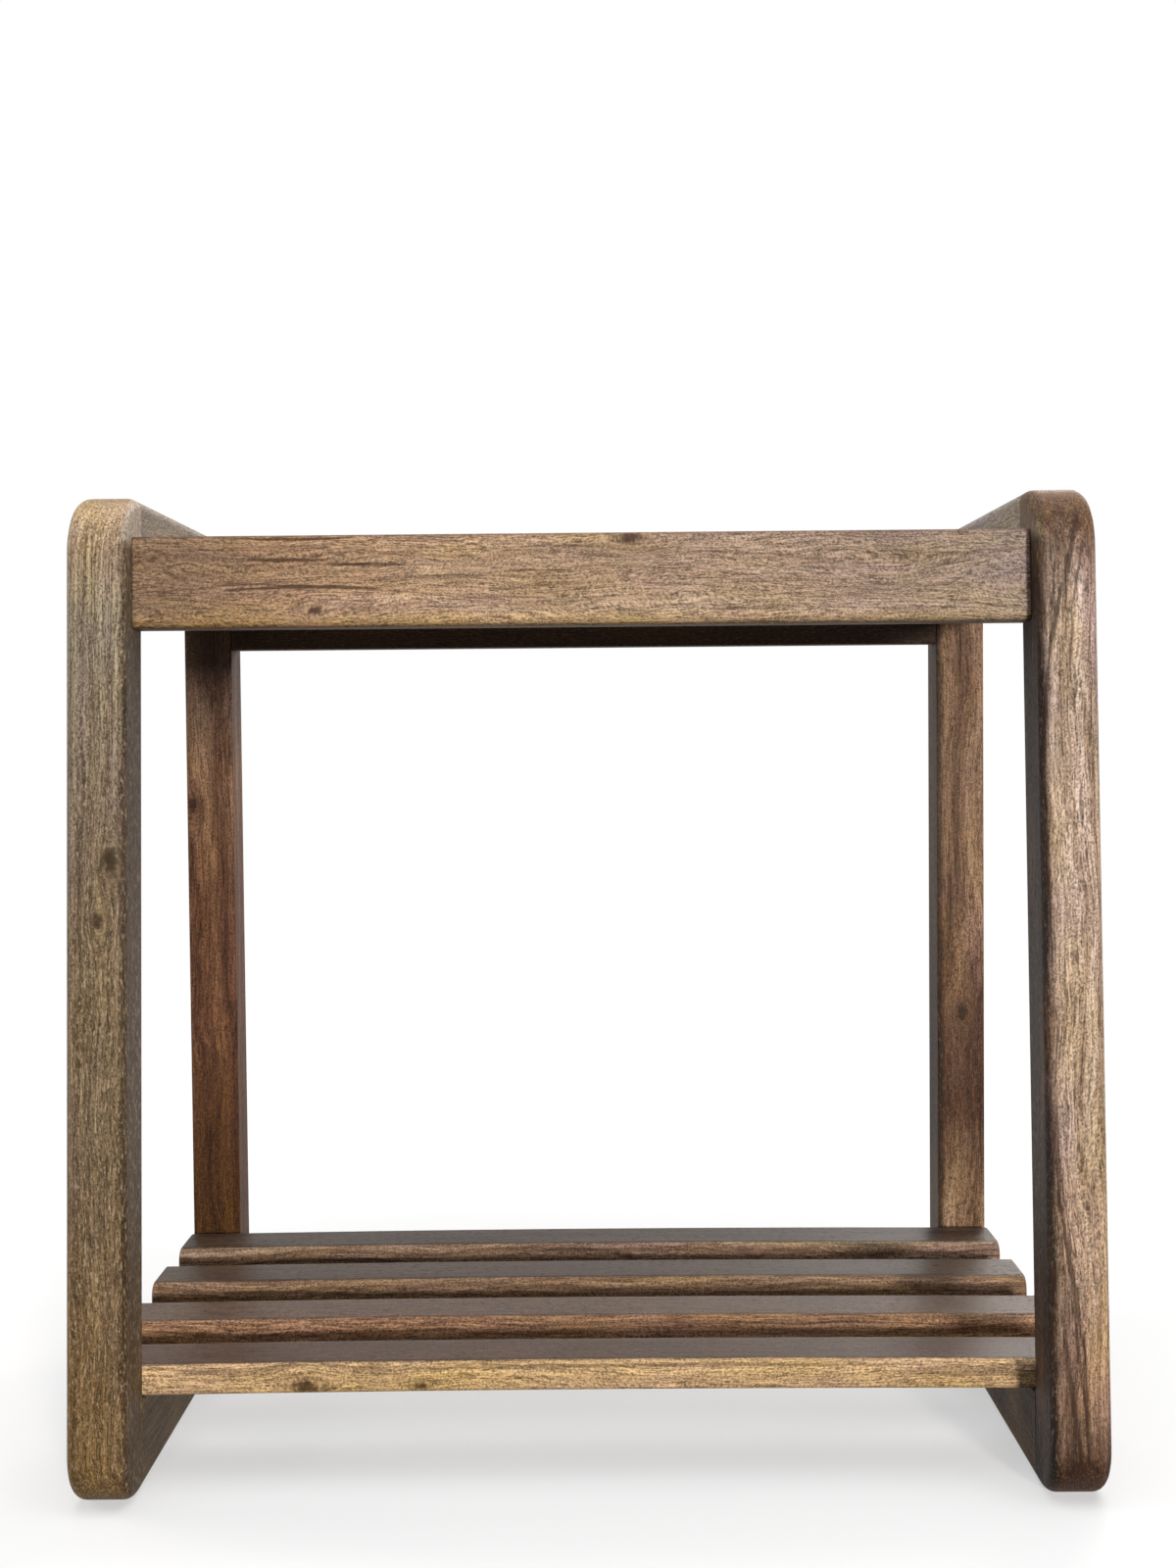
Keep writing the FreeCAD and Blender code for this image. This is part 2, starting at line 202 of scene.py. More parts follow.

# Zones: a colour, how much of it shows, and the limits in which it lies, each with an axis of the object and
# the places where the zone begins and is full. Pale ones are sapwood. The dark ones on the inward faces of the
# posts and the rear apron, along the front apron's lower edge and at its ends against the posts are painted
# shade, the dark one along the front apron's upper edge darkens that edge, and the grey ones at the top of the
# inward faces, above the aprons, are a painted sheen.
BOARD_ZONES = {
    "shelf_slat_1": [("bd9d76", 0.95, [("Y", -100.2, -102.2)])],
    # The front apron's dark lower edge and its dark ends against the posts are painted shade.
    "front_apron": [
        ("c8a672", 0.4, [("Z", 398.5, 394.0)]), ("5c3d26", 0.55, [("Z", 431.0, 432.4)]),
        ("4a3220", 0.5, [("Z", 392.6, 391.6)]), ("4f301d", 0.6, [("X", 201.8, 202.8)]),
        ("4f301d", 0.6, [("X", -201.8, -202.8)]),
    ],
    # The dark inward face: painted shade.
    "right_rear_post": [("2e1f16", 0.85, [("X", 207.8, 204.2)])],
    # The rear apron's dark inner face: painted shade.
    "rear_apron": [("2b1c13", 0.93, [("Y", 102.0, 98.0)])],
    # The grey tops of the rails' inward faces: a painted sheen.
    "left_top_rail": [("71655c", 0.9, [("X", -206.0, -204.0), ("Z", 424, 430)])],
    "right_top_rail": [("837b74", 0.9, [("X", 206.0, 204.0), ("Z", 424, 430)])],
    # The dark inward face is painted shade, and the grey top of that face a painted sheen.
    "right_front_post": [
        ("1e120b", 0.95, [("X", 207.8, 204.2)]), ("b0a698", 0.95, [("X", 206.4, 204.4), ("Z", 426, 433)]),
    ],
    # The dark inward face is painted shade, and the grey top of that face a painted sheen.
    "left_front_post": [
        ("4a382c", 0.75, [("X", -206.8, -203.6)]), ("b0936f", 0.55, [("Z", 434, 446)]),
        ("a19283", 0.9, [("X", -206.0, -204.0), ("Z", 426, 433)]),
    ],
}

# The shelf slats' tops get painted shade, which darkens them as if little light fell on them, and are made
# smoother: the colours of the painted shade, how much of it shows, and how far the roughness of the tops is
# lowered.
TOP_PAINTED_SHADE = {
    "shelf_slat_1": "3c271b", "shelf_slat_2": "483a30",
    "shelf_slat_3": "32251f", "shelf_slat_4": "150e0a",
}
TOP_SHADE_SHARE = 0.85
TOP_SMOOTHING = 0.18

# Noises of the grain: size along and across the board, detail and roughness. Those of the first table lie
# still, and those of the second follow the flow of the grain.
STILL_NOISES = {"drift": (85, 26, 3, 0.45), "cloud": (70, 15, 3, 0.5)}
FLOWING_NOISES = {
    "line": (60, 1.4, 3, 0.6), "grit": (1.1, 0.8, 1, 0.5), "fleck": (3.4, 0.8, 2, 0.6),
    "streak": (26, 1.15, 2, 0.55), "heart": (60, 4.2, 4, 0.6),
}
# Masks: the value at which each one begins to show, and the value at which it is full.
MASKS = {
    name: {"From Min": begins, "From Max": full} for name, begins, full in (
        ("knot core", 1.9, 1.1), ("knot halo", 3.6, 1.4), ("mark", 1.75, 1.2), ("fleck", 0.54, 0.68),
        ("pore", 0.44, 0.20), ("kept pore", 1.1, 1.6), ("streak", 0.78, 0.92), ("heart", 1.0, 1.24),
        ("worn top", 0.90, 0.985), ("end grain", 0.72, 0.95), ("tint", 0.3, 0.7))
}
# How far the bands wander along and across the board for each millimetre of warp, how they are squeezed along
# it, how strong the fine lines in them are, and how strong the figure is for each unit of contrast.
WANDER = (4, 2, 2)
BAND_STRETCH = (0.012, 1, 1)
LINE_SHARE = 0.8
FIGURE_GAIN = 2.6
# Length of a fibre, and how much the grit of the cut ends adds to it.
FIBRE_LENGTH = 24
GRIT_SHARE = 0.9
# How far pores and dark streaks gather where the cloud is thick.
PORE_CROWDING = 1.4
STREAK_CROWDING = 0.45
# Steps between the places in the noise from which the boards are cut.
SEED_STEPS = (37, 53, 71)

# Knots: how much shorter they count along the grain, within how many radii the grain flows round them and how
# far it is pushed, and how fine and how ragged their edges are.
KNOT_SHAPE = (0.55, 1, 1)
KNOT_REACH = 2.6
KNOT_PULL = -0.82
KNOT_WAVES = 0.55
KNOT_RAGGED = 1.3
# Marks: how deep they go, and how drawn out, fine and ragged their edges are. Zones: how fine their edges wave.
MARK_DEPTH = 9
MARK_STRETCH = (0.12, 1, 1)
MARK_WAVES = 0.9
MARK_RAGGED = 1.4
ZONE_WAVES = 0.035

# How much shows of the pores, of a knot's halo and core, and of the darker end grain.
PORE_SHARE = 0.6
HALO_SHARE = 0.35
CORE_SHARE = 0.85
END_SHARE = 0.45
# Least and most lightness of the fibres, and of the slow changes in light and in warmth over a board.
FIBRE_TINTS = (0.38, 1.56)
LIGHT_TINTS = (0.82, 1.14)
WARM_TINTS = (0.78, 1.12)

# Oiled surface: refraction and gloss of the film, depth and strength of the grain's relief, how deep the pores
# lie in it, what pores and fibres add to the roughness, and how much of that is taken off again for the mean.
WOOD_IOR = 1.5
WOOD_GLOSS = 0.13
RELIEF = 0.25 * MM
RELIEF_STRENGTH = 0.45
PORE_RELIEF = -1.4
PORE_ROUGHNESS = 0.25
FIBRE_ROUGHNESS = 0.12
FIBRE_LEVEL = 0.06

# Stage in metres: half the floor's side, and how its paint gives way to white toward its edge.
FLOOR_REACH = 6
FLOOR_FADE = {"From Min": 0.25, "From Max": 1.6, "To Min": 0.5, "To Max": 1.0}
# Lamps: place, size and tint. They are all aimed at the middle of the bench.
LAMP_TARGET = (0, 0, 0.24)
LAMPS = {
    "key": ((1.42, -4.35, 0.85), (0.5, 0.6), "fffaf4"),
    "overhead": ((0.2, -0.3, 2.7), (3.0, 3.0), "f4f8ff"),
    "back": ((1.7, 3.2, 2.2), (1.8, 1.2), "fbf8f4"),
    "side": ((-3.6, 0.6, 1.5), (1.6, 1.2), "fbf8f4"),
}
# Camera: low in front of the bench and level, a hair turned and tilted, its frame shifted down.
CAMERA_PLACE = (4.39 * MM, -879.32 * MM, 345.42 * MM)
CAMERA_YAW = -0.0024
CAMERA_ROLL = 0.00928
CAMERA_LENS = 38.95
CAMERA_SENSOR = 36
CAMERA_SHIFT = -0.0369
CAMERA_CLIP = 0.05


def linear(code):
    """Linear colour with full alpha from an sRGB hex code."""
    channels = [int(code[i:i + 2], 16) / 255 for i in (0, 2, 4)]
    return tuple(c / 12.92 if c <= 0.04045 else ((c + 0.055) / 1.055) ** 2.4 for c in channels) + (1.0,)


# Sizes and colours that a user may change.

def length_property(label, description, millimetres):
    """Property for a length, which Blender keeps in metres."""
    return bpy.props.FloatProperty(
        name=label, description=description, default=millimetres * MM, min=0, subtype="DISTANCE", unit="LENGTH")


def power_property(label, description, watts):
    """Property for the power of a lamp."""
    return bpy.props.FloatProperty(
        name=label, description=description, default=watts, min=0, subtype="POWER", unit="POWER")


def colour_property(label, description, code):
    """Property for a colour, from its sRGB hex code."""
    return bpy.props.FloatVectorProperty(
        name=label, description=description, default=linear(code), size=4, min=0, max=1, subtype="COLOR")


def share_property(label, description, part):
    """Property for a number between nought and one."""
    return bpy.props.FloatProperty(
        name=label, description=description, default=part, min=0, max=1, subtype="FACTOR")


class BenchSizes(bpy.types.PropertyGroup):
    """Sizes of the bench's boards that its solids' boxes don't give."""

    splay: bpy.props.FloatProperty(
        name="Splay", description="Lean of each post toward the middle of its side frame",
        default=math.radians(1.7), min=0, max=math.radians(10), subtype="ANGLE", unit="ROTATION")
    foot_depth: length_property("Foot depth", "Depth between the posts' leaning faces at the floor", 276.5)
    post_depth: length_property("Post depth", "Depth of a post from its front face to its inward face", 30)
    top_corner: length_property("Top corner", "Radius of a side frame's upper corners", 28)
    foot_corner: length_property("Foot corner", "Radius of a side frame's lower corners", 25)
    outside_edge: length_property("Outside edge", "Radius of a side frame's rim on its outer face", 6)
    inside_edge: length_property("Inside edge", "Radius of a side frame's rim on its inner face", 5)
    window_edge: length_property("Window edge", "Radius of the edges round a side frame's window", 2)
    arris: length_property("Arris", "Ease of the sharp edges at each joint line", 0.35)
    apron_recess: length_property("Apron recess", "How far an apron's face lies behind the posts' faces", 12)
    apron_lower_edge: length_property("Apron lower edge", "Radius of an apron's lower outer edge", 4)
    apron_upper_edge: length_property("Apron upper edge", "Radius of an apron's upper outer edge", 2)
    apron_back_edge: length_property("Apron back edge", "Radius of an apron's edges toward the seat", 1.5)
    slat_top_edge: length_property("Slat top edge", "Radius of a slat's upper long edges", 6)
    slat_bottom_edge: length_property("Slat bottom edge", "Radius of a slat's lower long edges", 2)
    slat_end_ease: length_property("Slat end ease", "Chamfer round a slat's end grain", 0.8)
    slat_crown: length_property(
        "Slat crown", "How far a shelf slat has bowed up in the middle of its span", 1.3)
    cleat_edge: length_property("Cleat edge", "Radius of a cleat's free lower edge", 1.5)


class WoodGrain(bpy.types.PropertyGroup):
    """Grain of the hardwood, the same for every board."""

    pore_length: length_property("Pore length", "Length of an open pore along the grain", 5.5)
    pore_width: length_property("Pore spacing", "Spacing of the pores across the grain", 0.9)
    fibre_width: length_property("Fibre width", "Width of the fine streaks along the grain", 0.7)
    roughness: share_property("Oil finish", "Roughness of the oiled surface", 0.58)


class BoardColours(bpy.types.PropertyGroup):
    """Colours of each board: dark, middle and pale figure, and pores."""


SHADES = ("dark", "middle", "pale", "pore")
for board, codes in BOARD_COLOURS.items():
    for shade, code in zip(SHADES, codes):
        BoardColours.__annotations__[f"{board}_{shade}"] = colour_property(
            f"{board} {shade}".replace("_", " ").capitalize(),
            f"Colour of the {shade} wood of this board", code)


class StageSettings(bpy.types.PropertyGroup):
    """Floor, background and lamps."""

    floor_colour: colour_property("Floor", "Colour of the pale floor", "e9e7e4")
    bounce_colour: colour_property(
        "Floor bounce", "Colour in which the floor throws light back on the bench", "3c3732")
    key_power: power_property("Key lamp", "Power of the soft lamp in front on the right", 190)
    overhead_power: power_property("Overhead lamp", "Power of the wide soft lamp above the bench", 95)
    back_power: power_property("Back lamp", "Power of the soft lamp behind on the right", 85)
    side_power: power_property("Side lamp", "Power of the soft lamp on the left", 70)
    room_light: share_property("Room light", "Strength of the even light from all round", 0.14)


# Nodes: their kinds, and the settings that many of them share.

MATH, VECTOR_MATH, RANGE = "ShaderNodeMath", "ShaderNodeVectorMath", "ShaderNodeMapRange"
COMBINE, SEPARATE, RAMP = "ShaderNodeCombineXYZ", "ShaderNodeSeparateXYZ", "ShaderNodeValToRGB"
NOISE, COORDINATES, GROUP = "ShaderNodeTexNoise", "ShaderNodeTexCoord", "ShaderNodeGroup"
COMPARE, MOVE = "FunctionNodeCompare", "GeometryNodeSetPosition"
FLOAT, VECTOR = "NodeSocketFloat", "NodeSocketVector"
ADD = {"operation": "ADD"}
SUBTRACT = {"operation": "SUBTRACT"}
MULTIPLY = {"operation": "MULTIPLY"}
MULTIPLY_ADD = {"operation": "MULTIPLY_ADD"}
DIVIDE = {"operation": "DIVIDE"}
POWER = {"operation": "POWER"}
ABSOLUTE = {"operation": "ABSOLUTE"}
MAXIMUM = {"operation": "MAXIMUM"}
SCALE = {"operation": "SCALE"}
LENGTH = {"operation": "LENGTH"}
SAME_NUMBER = {"data_type": "INT", "operation": "EQUAL"}
SMOOTH = {"interpolation_type": "SMOOTHSTEP"}


def feed(tree, node, feeds):
    """Feeds a node's inputs from values, sockets or the first outputs of other nodes."""
    for socket, source in feeds.items():
        if isinstance(source, bpy.types.Node):
            source = source.outputs[0]
        if isinstance(source, bpy.types.NodeSocket):
            tree.links.new(source, node.inputs[socket])
        else:
            node.inputs[socket].default_value = source


def add(tree, kind, settings=None, feeds=None):
    """Adds a node, gives it its settings and feeds its inputs."""
    node = tree.nodes.new(kind)
    for name, value in (settings or {}).items():
        setattr(node, name, value)
    feed(tree, node, feeds or {})
    return node


def new_group(name, kind, inputs, outputs):
    """Empty node group, the sockets by name that it is given, and the node that takes its results."""
    group = bpy.data.node_groups.new(name, kind)
    for label, socket in inputs.items():
        group.interface.new_socket(label, in_out="INPUT", socket_type=socket)
    for label, socket in outputs.items():
        group.interface.new_socket(label, in_out="OUTPUT", socket_type=socket)
    given = {socket.name: socket for socket in add(group, "NodeGroupInput").outputs}
    return group, given, add(group, "NodeGroupOutput")


def new_material(name):
    """Material and its empty node tree."""
    material = bpy.data.materials.new(name)
    material.use_nodes = True
    material.node_tree.nodes.clear()
    return material, material.node_tree


def knot_group():
    """Knot: pushes the grain aside so that it flows round, and marks the dark core and its halo."""
    group, given, result = new_group(
        "knot", "ShaderNodeTree", {"Space": VECTOR, "Centre": VECTOR, "Radius": FLOAT},
        {"Space": VECTOR, "Core": FLOAT, "Halo": FLOAT})
    offset = add(group, VECTOR_MATH, SUBTRACT, {0: given["Space"], 1: given["Centre"]})
    shaped = add(group, VECTOR_MATH, MULTIPLY, {0: offset, 1: KNOT_SHAPE})
    reach = add(group, VECTOR_MATH, LENGTH, {0: shaped})
    spread = add(group, MATH, DIVIDE, {0: reach.outputs["Value"], 1: given["Radius"]})

    # The push fades with distance as a bell curve.
    ratio = add(group, MATH, DIVIDE, {0: spread, 1: KNOT_REACH})
    square = add(group, MATH, POWER, {0: ratio, 1: 2})
    minus = add(group, MATH, MULTIPLY, {0: square, 1: -1})
    near = add(group, MATH, {"operation": "EXPONENT"}, {0: minus})
    pull = add(group, MATH, MULTIPLY, {0: near, 1: KNOT_PULL})
    across = add(group, VECTOR_MATH, MULTIPLY, {0: offset, 1: (0, 1, 1)})
    bulge = add(group, VECTOR_MATH, SCALE, {0: across, "Scale": pull})
    moved = add(group, VECTOR_MATH, ADD, {0: given["Space"], 1: bulge})

    ragged = add(group, NOISE, None, {"Vector": given["Space"], "Scale": KNOT_WAVES, "Detail": 2})
    edge = add(group, MATH, MULTIPLY_ADD, {0: ragged, 1: KNOT_RAGGED, 2: spread})
    core = add(group, RANGE, SMOOTH, {"Value": edge, **MASKS["knot core"]})
    halo = add(group, RANGE, SMOOTH, {"Value": edge, **MASKS["knot halo"]})
    feed(group, result, {"Space": moved, "Core": core, "Halo": halo})


def mark_group():
    """Mark: a ragged lens-shaped streak that bends and slants along the grain near the surface."""
    group, given, result = new_group(
        "mark", "ShaderNodeTree",
        {"Space": VECTOR, "Centre": VECTOR, "Reach": VECTOR, "Bow": VECTOR, "Slant": VECTOR, "Strength": FLOAT},
        {"Mask": FLOAT})
    offset = add(group, VECTOR_MATH, SUBTRACT, {0: given["Space"], 1: given["Centre"]})
    along = add(group, SEPARATE, None, {0: offset})
    half_length = add(group, SEPARATE, None, {0: given["Reach"]})
    ratio = add(group, MATH, DIVIDE, {0: along, 1: half_length})
    turned = add(group, VECTOR_MATH, SCALE, {0: given["Bow"], "Scale": ratio})
    sloped = add(group, VECTOR_MATH, ADD, {0: turned, 1: given["Slant"]})
    bend = add(group, VECTOR_MATH, SCALE, {0: sloped, "Scale": ratio})
    straight = add(group, VECTOR_MATH, ADD, {0: offset, 1: bend})
    scaled = add(group, VECTOR_MATH, DIVIDE, {0: straight, 1: given["Reach"]})
    reach = add(group, VECTOR_MATH, LENGTH, {0: scaled})
    stretched = add(group, VECTOR_MATH, MULTIPLY, {0: given["Space"], 1: MARK_STRETCH})
    ragged = add(group, NOISE, None, {"Vector": stretched, "Scale": MARK_WAVES, "Detail": 3})
    edge = add(group, MATH, MULTIPLY_ADD, {0: ragged, 1: MARK_RAGGED, 2: reach.outputs["Value"]})
    mask = add(group, RANGE, SMOOTH, {"Value": edge, **MASKS["mark"]})
    feed(group, result, {"Mask": add(group, MATH, MULTIPLY, {0: mask, 1: given["Strength"]})})


def stretched_noises(group, space, sizes):
    """Noises by name, each drawn out along the board in a space in millimetres."""
    noises = {}
    for name, (along, across, detail, roughness) in sizes.items():
        stretched = add(group, VECTOR_MATH, MULTIPLY, {0: space, 1: (1 / along, 1 / across, 1 / across)})
        noises[name] = add(group, NOISE, None, {
            "Vector": stretched, "Scale": 1, "Detail": detail, "Roughness": roughness})
    return noises


def grain_group():
    """Grain of the wood in a space in millimetres, whose first axis runs along the board."""
    group, given, result = new_group(
        "grain", "ShaderNodeTree",
        {"Space": VECTOR, "Seed": VECTOR, "Pith": VECTOR, "Warp": FLOAT, "Ring": FLOAT, "Contrast": FLOAT,
         "Pore Length": FLOAT, "Pore Spacing": FLOAT, "Fibre Width": FLOAT},
        {"Figure": FLOAT, "Fibre": FLOAT, "Pores": FLOAT, "Streaks": FLOAT, "Heart": FLOAT,
         "Cloud": VECTOR, "Flecks": FLOAT, "Along": FLOAT})
    seeded = add(group, VECTOR_MATH, ADD, {0: given["Space"], 1: given["Seed"]})
    still = stretched_noises(group, seeded, STILL_NOISES)
    cloud = still["cloud"]

    # The bands wander slowly along the board, and everything else follows the same flow.
    centred = add(group, VECTOR_MATH, SUBTRACT, {0: still["drift"].outputs["Color"], 1: (0.5, 0.5, 0.5)})
    level = add(group, VECTOR_MATH, MULTIPLY, {0: centred, 1: WANDER})
    wander = add(group, VECTOR_MATH, SCALE, {0: level, "Scale": given["Warp"]})
    flow = add(group, VECTOR_MATH, ADD, {0: seeded, 1: wander})
    flowing = add(group, VECTOR_MATH, SUBTRACT, {0: flow, 1: given["Seed"]})
    noises = stretched_noises(group, flow, FLOWING_NOISES)

    # Growth bands, with fine lines in them.
    from_pith = add(group, VECTOR_MATH, SUBTRACT, {0: flowing, 1: given["Pith"]})
    across = add(group, VECTOR_MATH, MULTIPLY, {0: from_pith, 1: BAND_STRETCH})
    radius = add(group, VECTOR_MATH, LENGTH, {0: across})
    count = add(group, MATH, DIVIDE, {0: radius.outputs["Value"], 1: given["Ring"]})
    bands = add(group, NOISE, {"noise_dimensions": "1D"}, {
        "W": count, "Scale": 1, "Detail": 4, "Roughness": 0.62})
    both = add(group, MATH, MULTIPLY_ADD, {0: noises["line"], 1: LINE_SHARE, 2: bands})
    spread = add(group, MATH, SUBTRACT, {0: both, 1: 0.5 + 0.5 * LINE_SHARE})
    scaled = add(group, MATH, MULTIPLY, {0: spread, 1: given["Contrast"]})
    figure = add(group, MATH, {**MULTIPLY_ADD, "use_clamp": True}, {0: scaled, 1: FIGURE_GAIN, 2: 0.5})

    # Fibres with the grit of their cut ends, and short pale flecks where they turn out of the surface.
    fine_scale = add(group, MATH, DIVIDE, {0: 1, 1: given["Fibre Width"]})
    fine_ratio = add(group, COMBINE, None, {0: 1 / FIBRE_LENGTH, 1: fine_scale, 2: fine_scale})
    fine = add(group, VECTOR_MATH, MULTIPLY, {0: flow, 1: fine_ratio})
    whole = add(group, NOISE, None, {"Vector": fine, "Scale": 1, "Detail": 3, "Roughness": 0.65})
    cut = add(group, MATH, MULTIPLY_ADD, {0: noises["grit"], 1: GRIT_SHARE, 2: whole})
    fibre = add(group, MATH, SUBTRACT, {0: cut, 1: 0.5 * GRIT_SHARE})
    flecks = add(group, RANGE, SMOOTH, {"Value": noises["fleck"], **MASKS["fleck"]})

    # Pores are short dark dashes. Only some cells have one, and more where the cloud is thick.
    spacing = given["Pore Spacing"]
    cell = add(group, COMBINE, None, {0: given["Pore Length"], 1: spacing, 2: spacing})
    celled = add(group, VECTOR_MATH, DIVIDE, {0: flow, 1: cell})
    pore = add(group, "ShaderNodeTexVoronoi", None, {"Vector": celled, "Scale": 1, "Randomness": 1})
    chance = add(group, SEPARATE, None, {0: pore.outputs["Color"]})
    crowd = add(group, MATH, MULTIPLY_ADD, {0: cloud, 1: PORE_CROWDING, 2: chance})
    kept = add(group, RANGE, None, {"Value": crowd, **MASKS["kept pore"]})
    dash = add(group, RANGE, SMOOTH, {"Value": pore.outputs["Distance"], **MASKS["pore"]})
    pores = add(group, MATH, MULTIPLY, {0: dash, 1: kept})

    # Thin dark lines lie in bundles, and dark heartwood in wider bands.
    bundle = add(group, MATH, MULTIPLY_ADD, {0: cloud, 1: STREAK_CROWDING, 2: noises["streak"]})
    streaks = add(group, RANGE, SMOOTH, {"Value": bundle, **MASKS["streak"]})
    gathered = add(group, MATH, ADD, {0: noises["heart"], 1: cloud})
    heart = add(group, RANGE, SMOOTH, {"Value": gathered, **MASKS["heart"]})
    feed(group, result, {
        "Figure": figure, "Fibre": fibre, "Pores": pores, "Streaks": streaks, "Heart": heart,
        "Cloud": cloud.outputs["Color"], "Flecks": flecks, "Along": add(group, SEPARATE, None, {0: flowing})})


def grain_axes(board):
    """Axes along and across the grain of a board, as letters of the object's own space."""
    if board.endswith("post"):
        return "ZXY"
    if board.endswith(("rail", "cleat")):
        return "YXZ"
    return "XYZ"


# Layers over the figure: the tint of each one, how much of it shows, and how it is laid on.

def zone_layers(tree, board, space, axes):
    """Layers for the zones of a board, whose edges wave: sapwood and other tones, painted shade and painted
    sheen.
    """
    layers = []
    for code, zone, limits in BOARD_ZONES.get(board, []):
        wavy = add(tree, NOISE, None, {"Vector": space, "Scale": ZONE_WAVES, "Detail": 3})
        for axis, begins, full in limits:
            swing = abs(full - begins)
            level = add(tree, MATH, MULTIPLY_ADD, {0: wavy, 1: swing, 2: axes.outputs[axis]})
            within = add(tree, RANGE, SMOOTH, {
                "Value": level, "From Min": begins + swing / 2, "From Max": full + swing / 2})
            zone = add(tree, MATH, MULTIPLY, {0: within, 1: zone})
        layers.append((linear(code), zone, "MIX"))
    return layers


def tone_layers(tree, board, along):
    """Layer that tints a board along its grain, with its own tone and painted shade, if it isn't even from end
    to end.
    """
    if board not in BOARD_TONES:
        return []
    tones = BOARD_TONES[board]
    first, last = tones[0][0], tones[-1][0]
    run = add(tree, RANGE, None, {"Value": along, "From Min": first, "From Max": last})
    tint = add(tree, RAMP, None, {0: run})
    stops = tint.color_ramp.elements
    stops[0].color, stops[1].color = linear(tones[0][1]), linear(tones[-1][1])
    for place, code in tones[1:-1]:
        stops.new((place - first) / (last - first)).color = linear(code)
    return [(tint, 1.0, "MULTIPLY")]


def grain_layers(tree, look, pattern, shades):
    """Layers for heartwood, slow changes over a board, fibres, flecks, streaks and pores. Also the pores."""
    dark, pale, pore = shades
    heart, flecks, streaks, pores = [
        add(tree, MATH, MULTIPLY, {0: pattern[name], 1: share}) for name, share in (
            ("Heart", look.heart), ("Flecks", look.fleck), ("Streaks", look.streak), ("Pores", PORE_SHARE))]
    cloud = add(tree, SEPARATE, None, {0: pattern["Cloud"]})
    light, warm, fibre = [
        add(tree, RANGE, None, {"Value": source, **MASKS["tint"], "To Min": least, "To Max": most})
        for source, (least, most) in (
            (cloud.outputs["X"], LIGHT_TINTS), (cloud.outputs["Y"], WARM_TINTS),
            (pattern["Fibre"], FIBRE_TINTS))]
    blue = add(tree, MATH, MULTIPLY, {0: light, 1: warm})
    cloudy = add(tree, COMBINE, None, {0: light, 1: light, 2: blue})
    fibrous = add(tree, COMBINE, None, {0: fibre, 1: fibre, 2: fibre})
    layers = [(dark, heart, "MIX"), (cloudy, 1.0, "MULTIPLY"), (fibrous, 1.0, "MULTIPLY"),
              (pale, flecks, "MIX"), (pore, streaks, "MIX"), (pore, pores, "MIX")]
    return layers, pores


def mark_layers(tree, board, space, tint):
    """Layers for the dark streaks of a board."""
    layers, upright = [], grain_axes(board) == "ZXY"
    for *centre, length, width, bow, slant, strength in BOARD_MARKS.get(board, []):
        reach = (length, width, MARK_DEPTH) if upright else (length, MARK_DEPTH, width)
        bow, slant = [(0, bend, 0) if upright else (0, 0, bend) for bend in (bow, slant)]
        mark = add(tree, GROUP, {"node_tree": bpy.data.node_groups["mark"]}, {
            "Space": space, "Centre": centre, "Reach": reach, "Bow": bow, "Slant": slant, "Strength": strength})
        layers.append((tint, mark, "MIX"))
    return layers


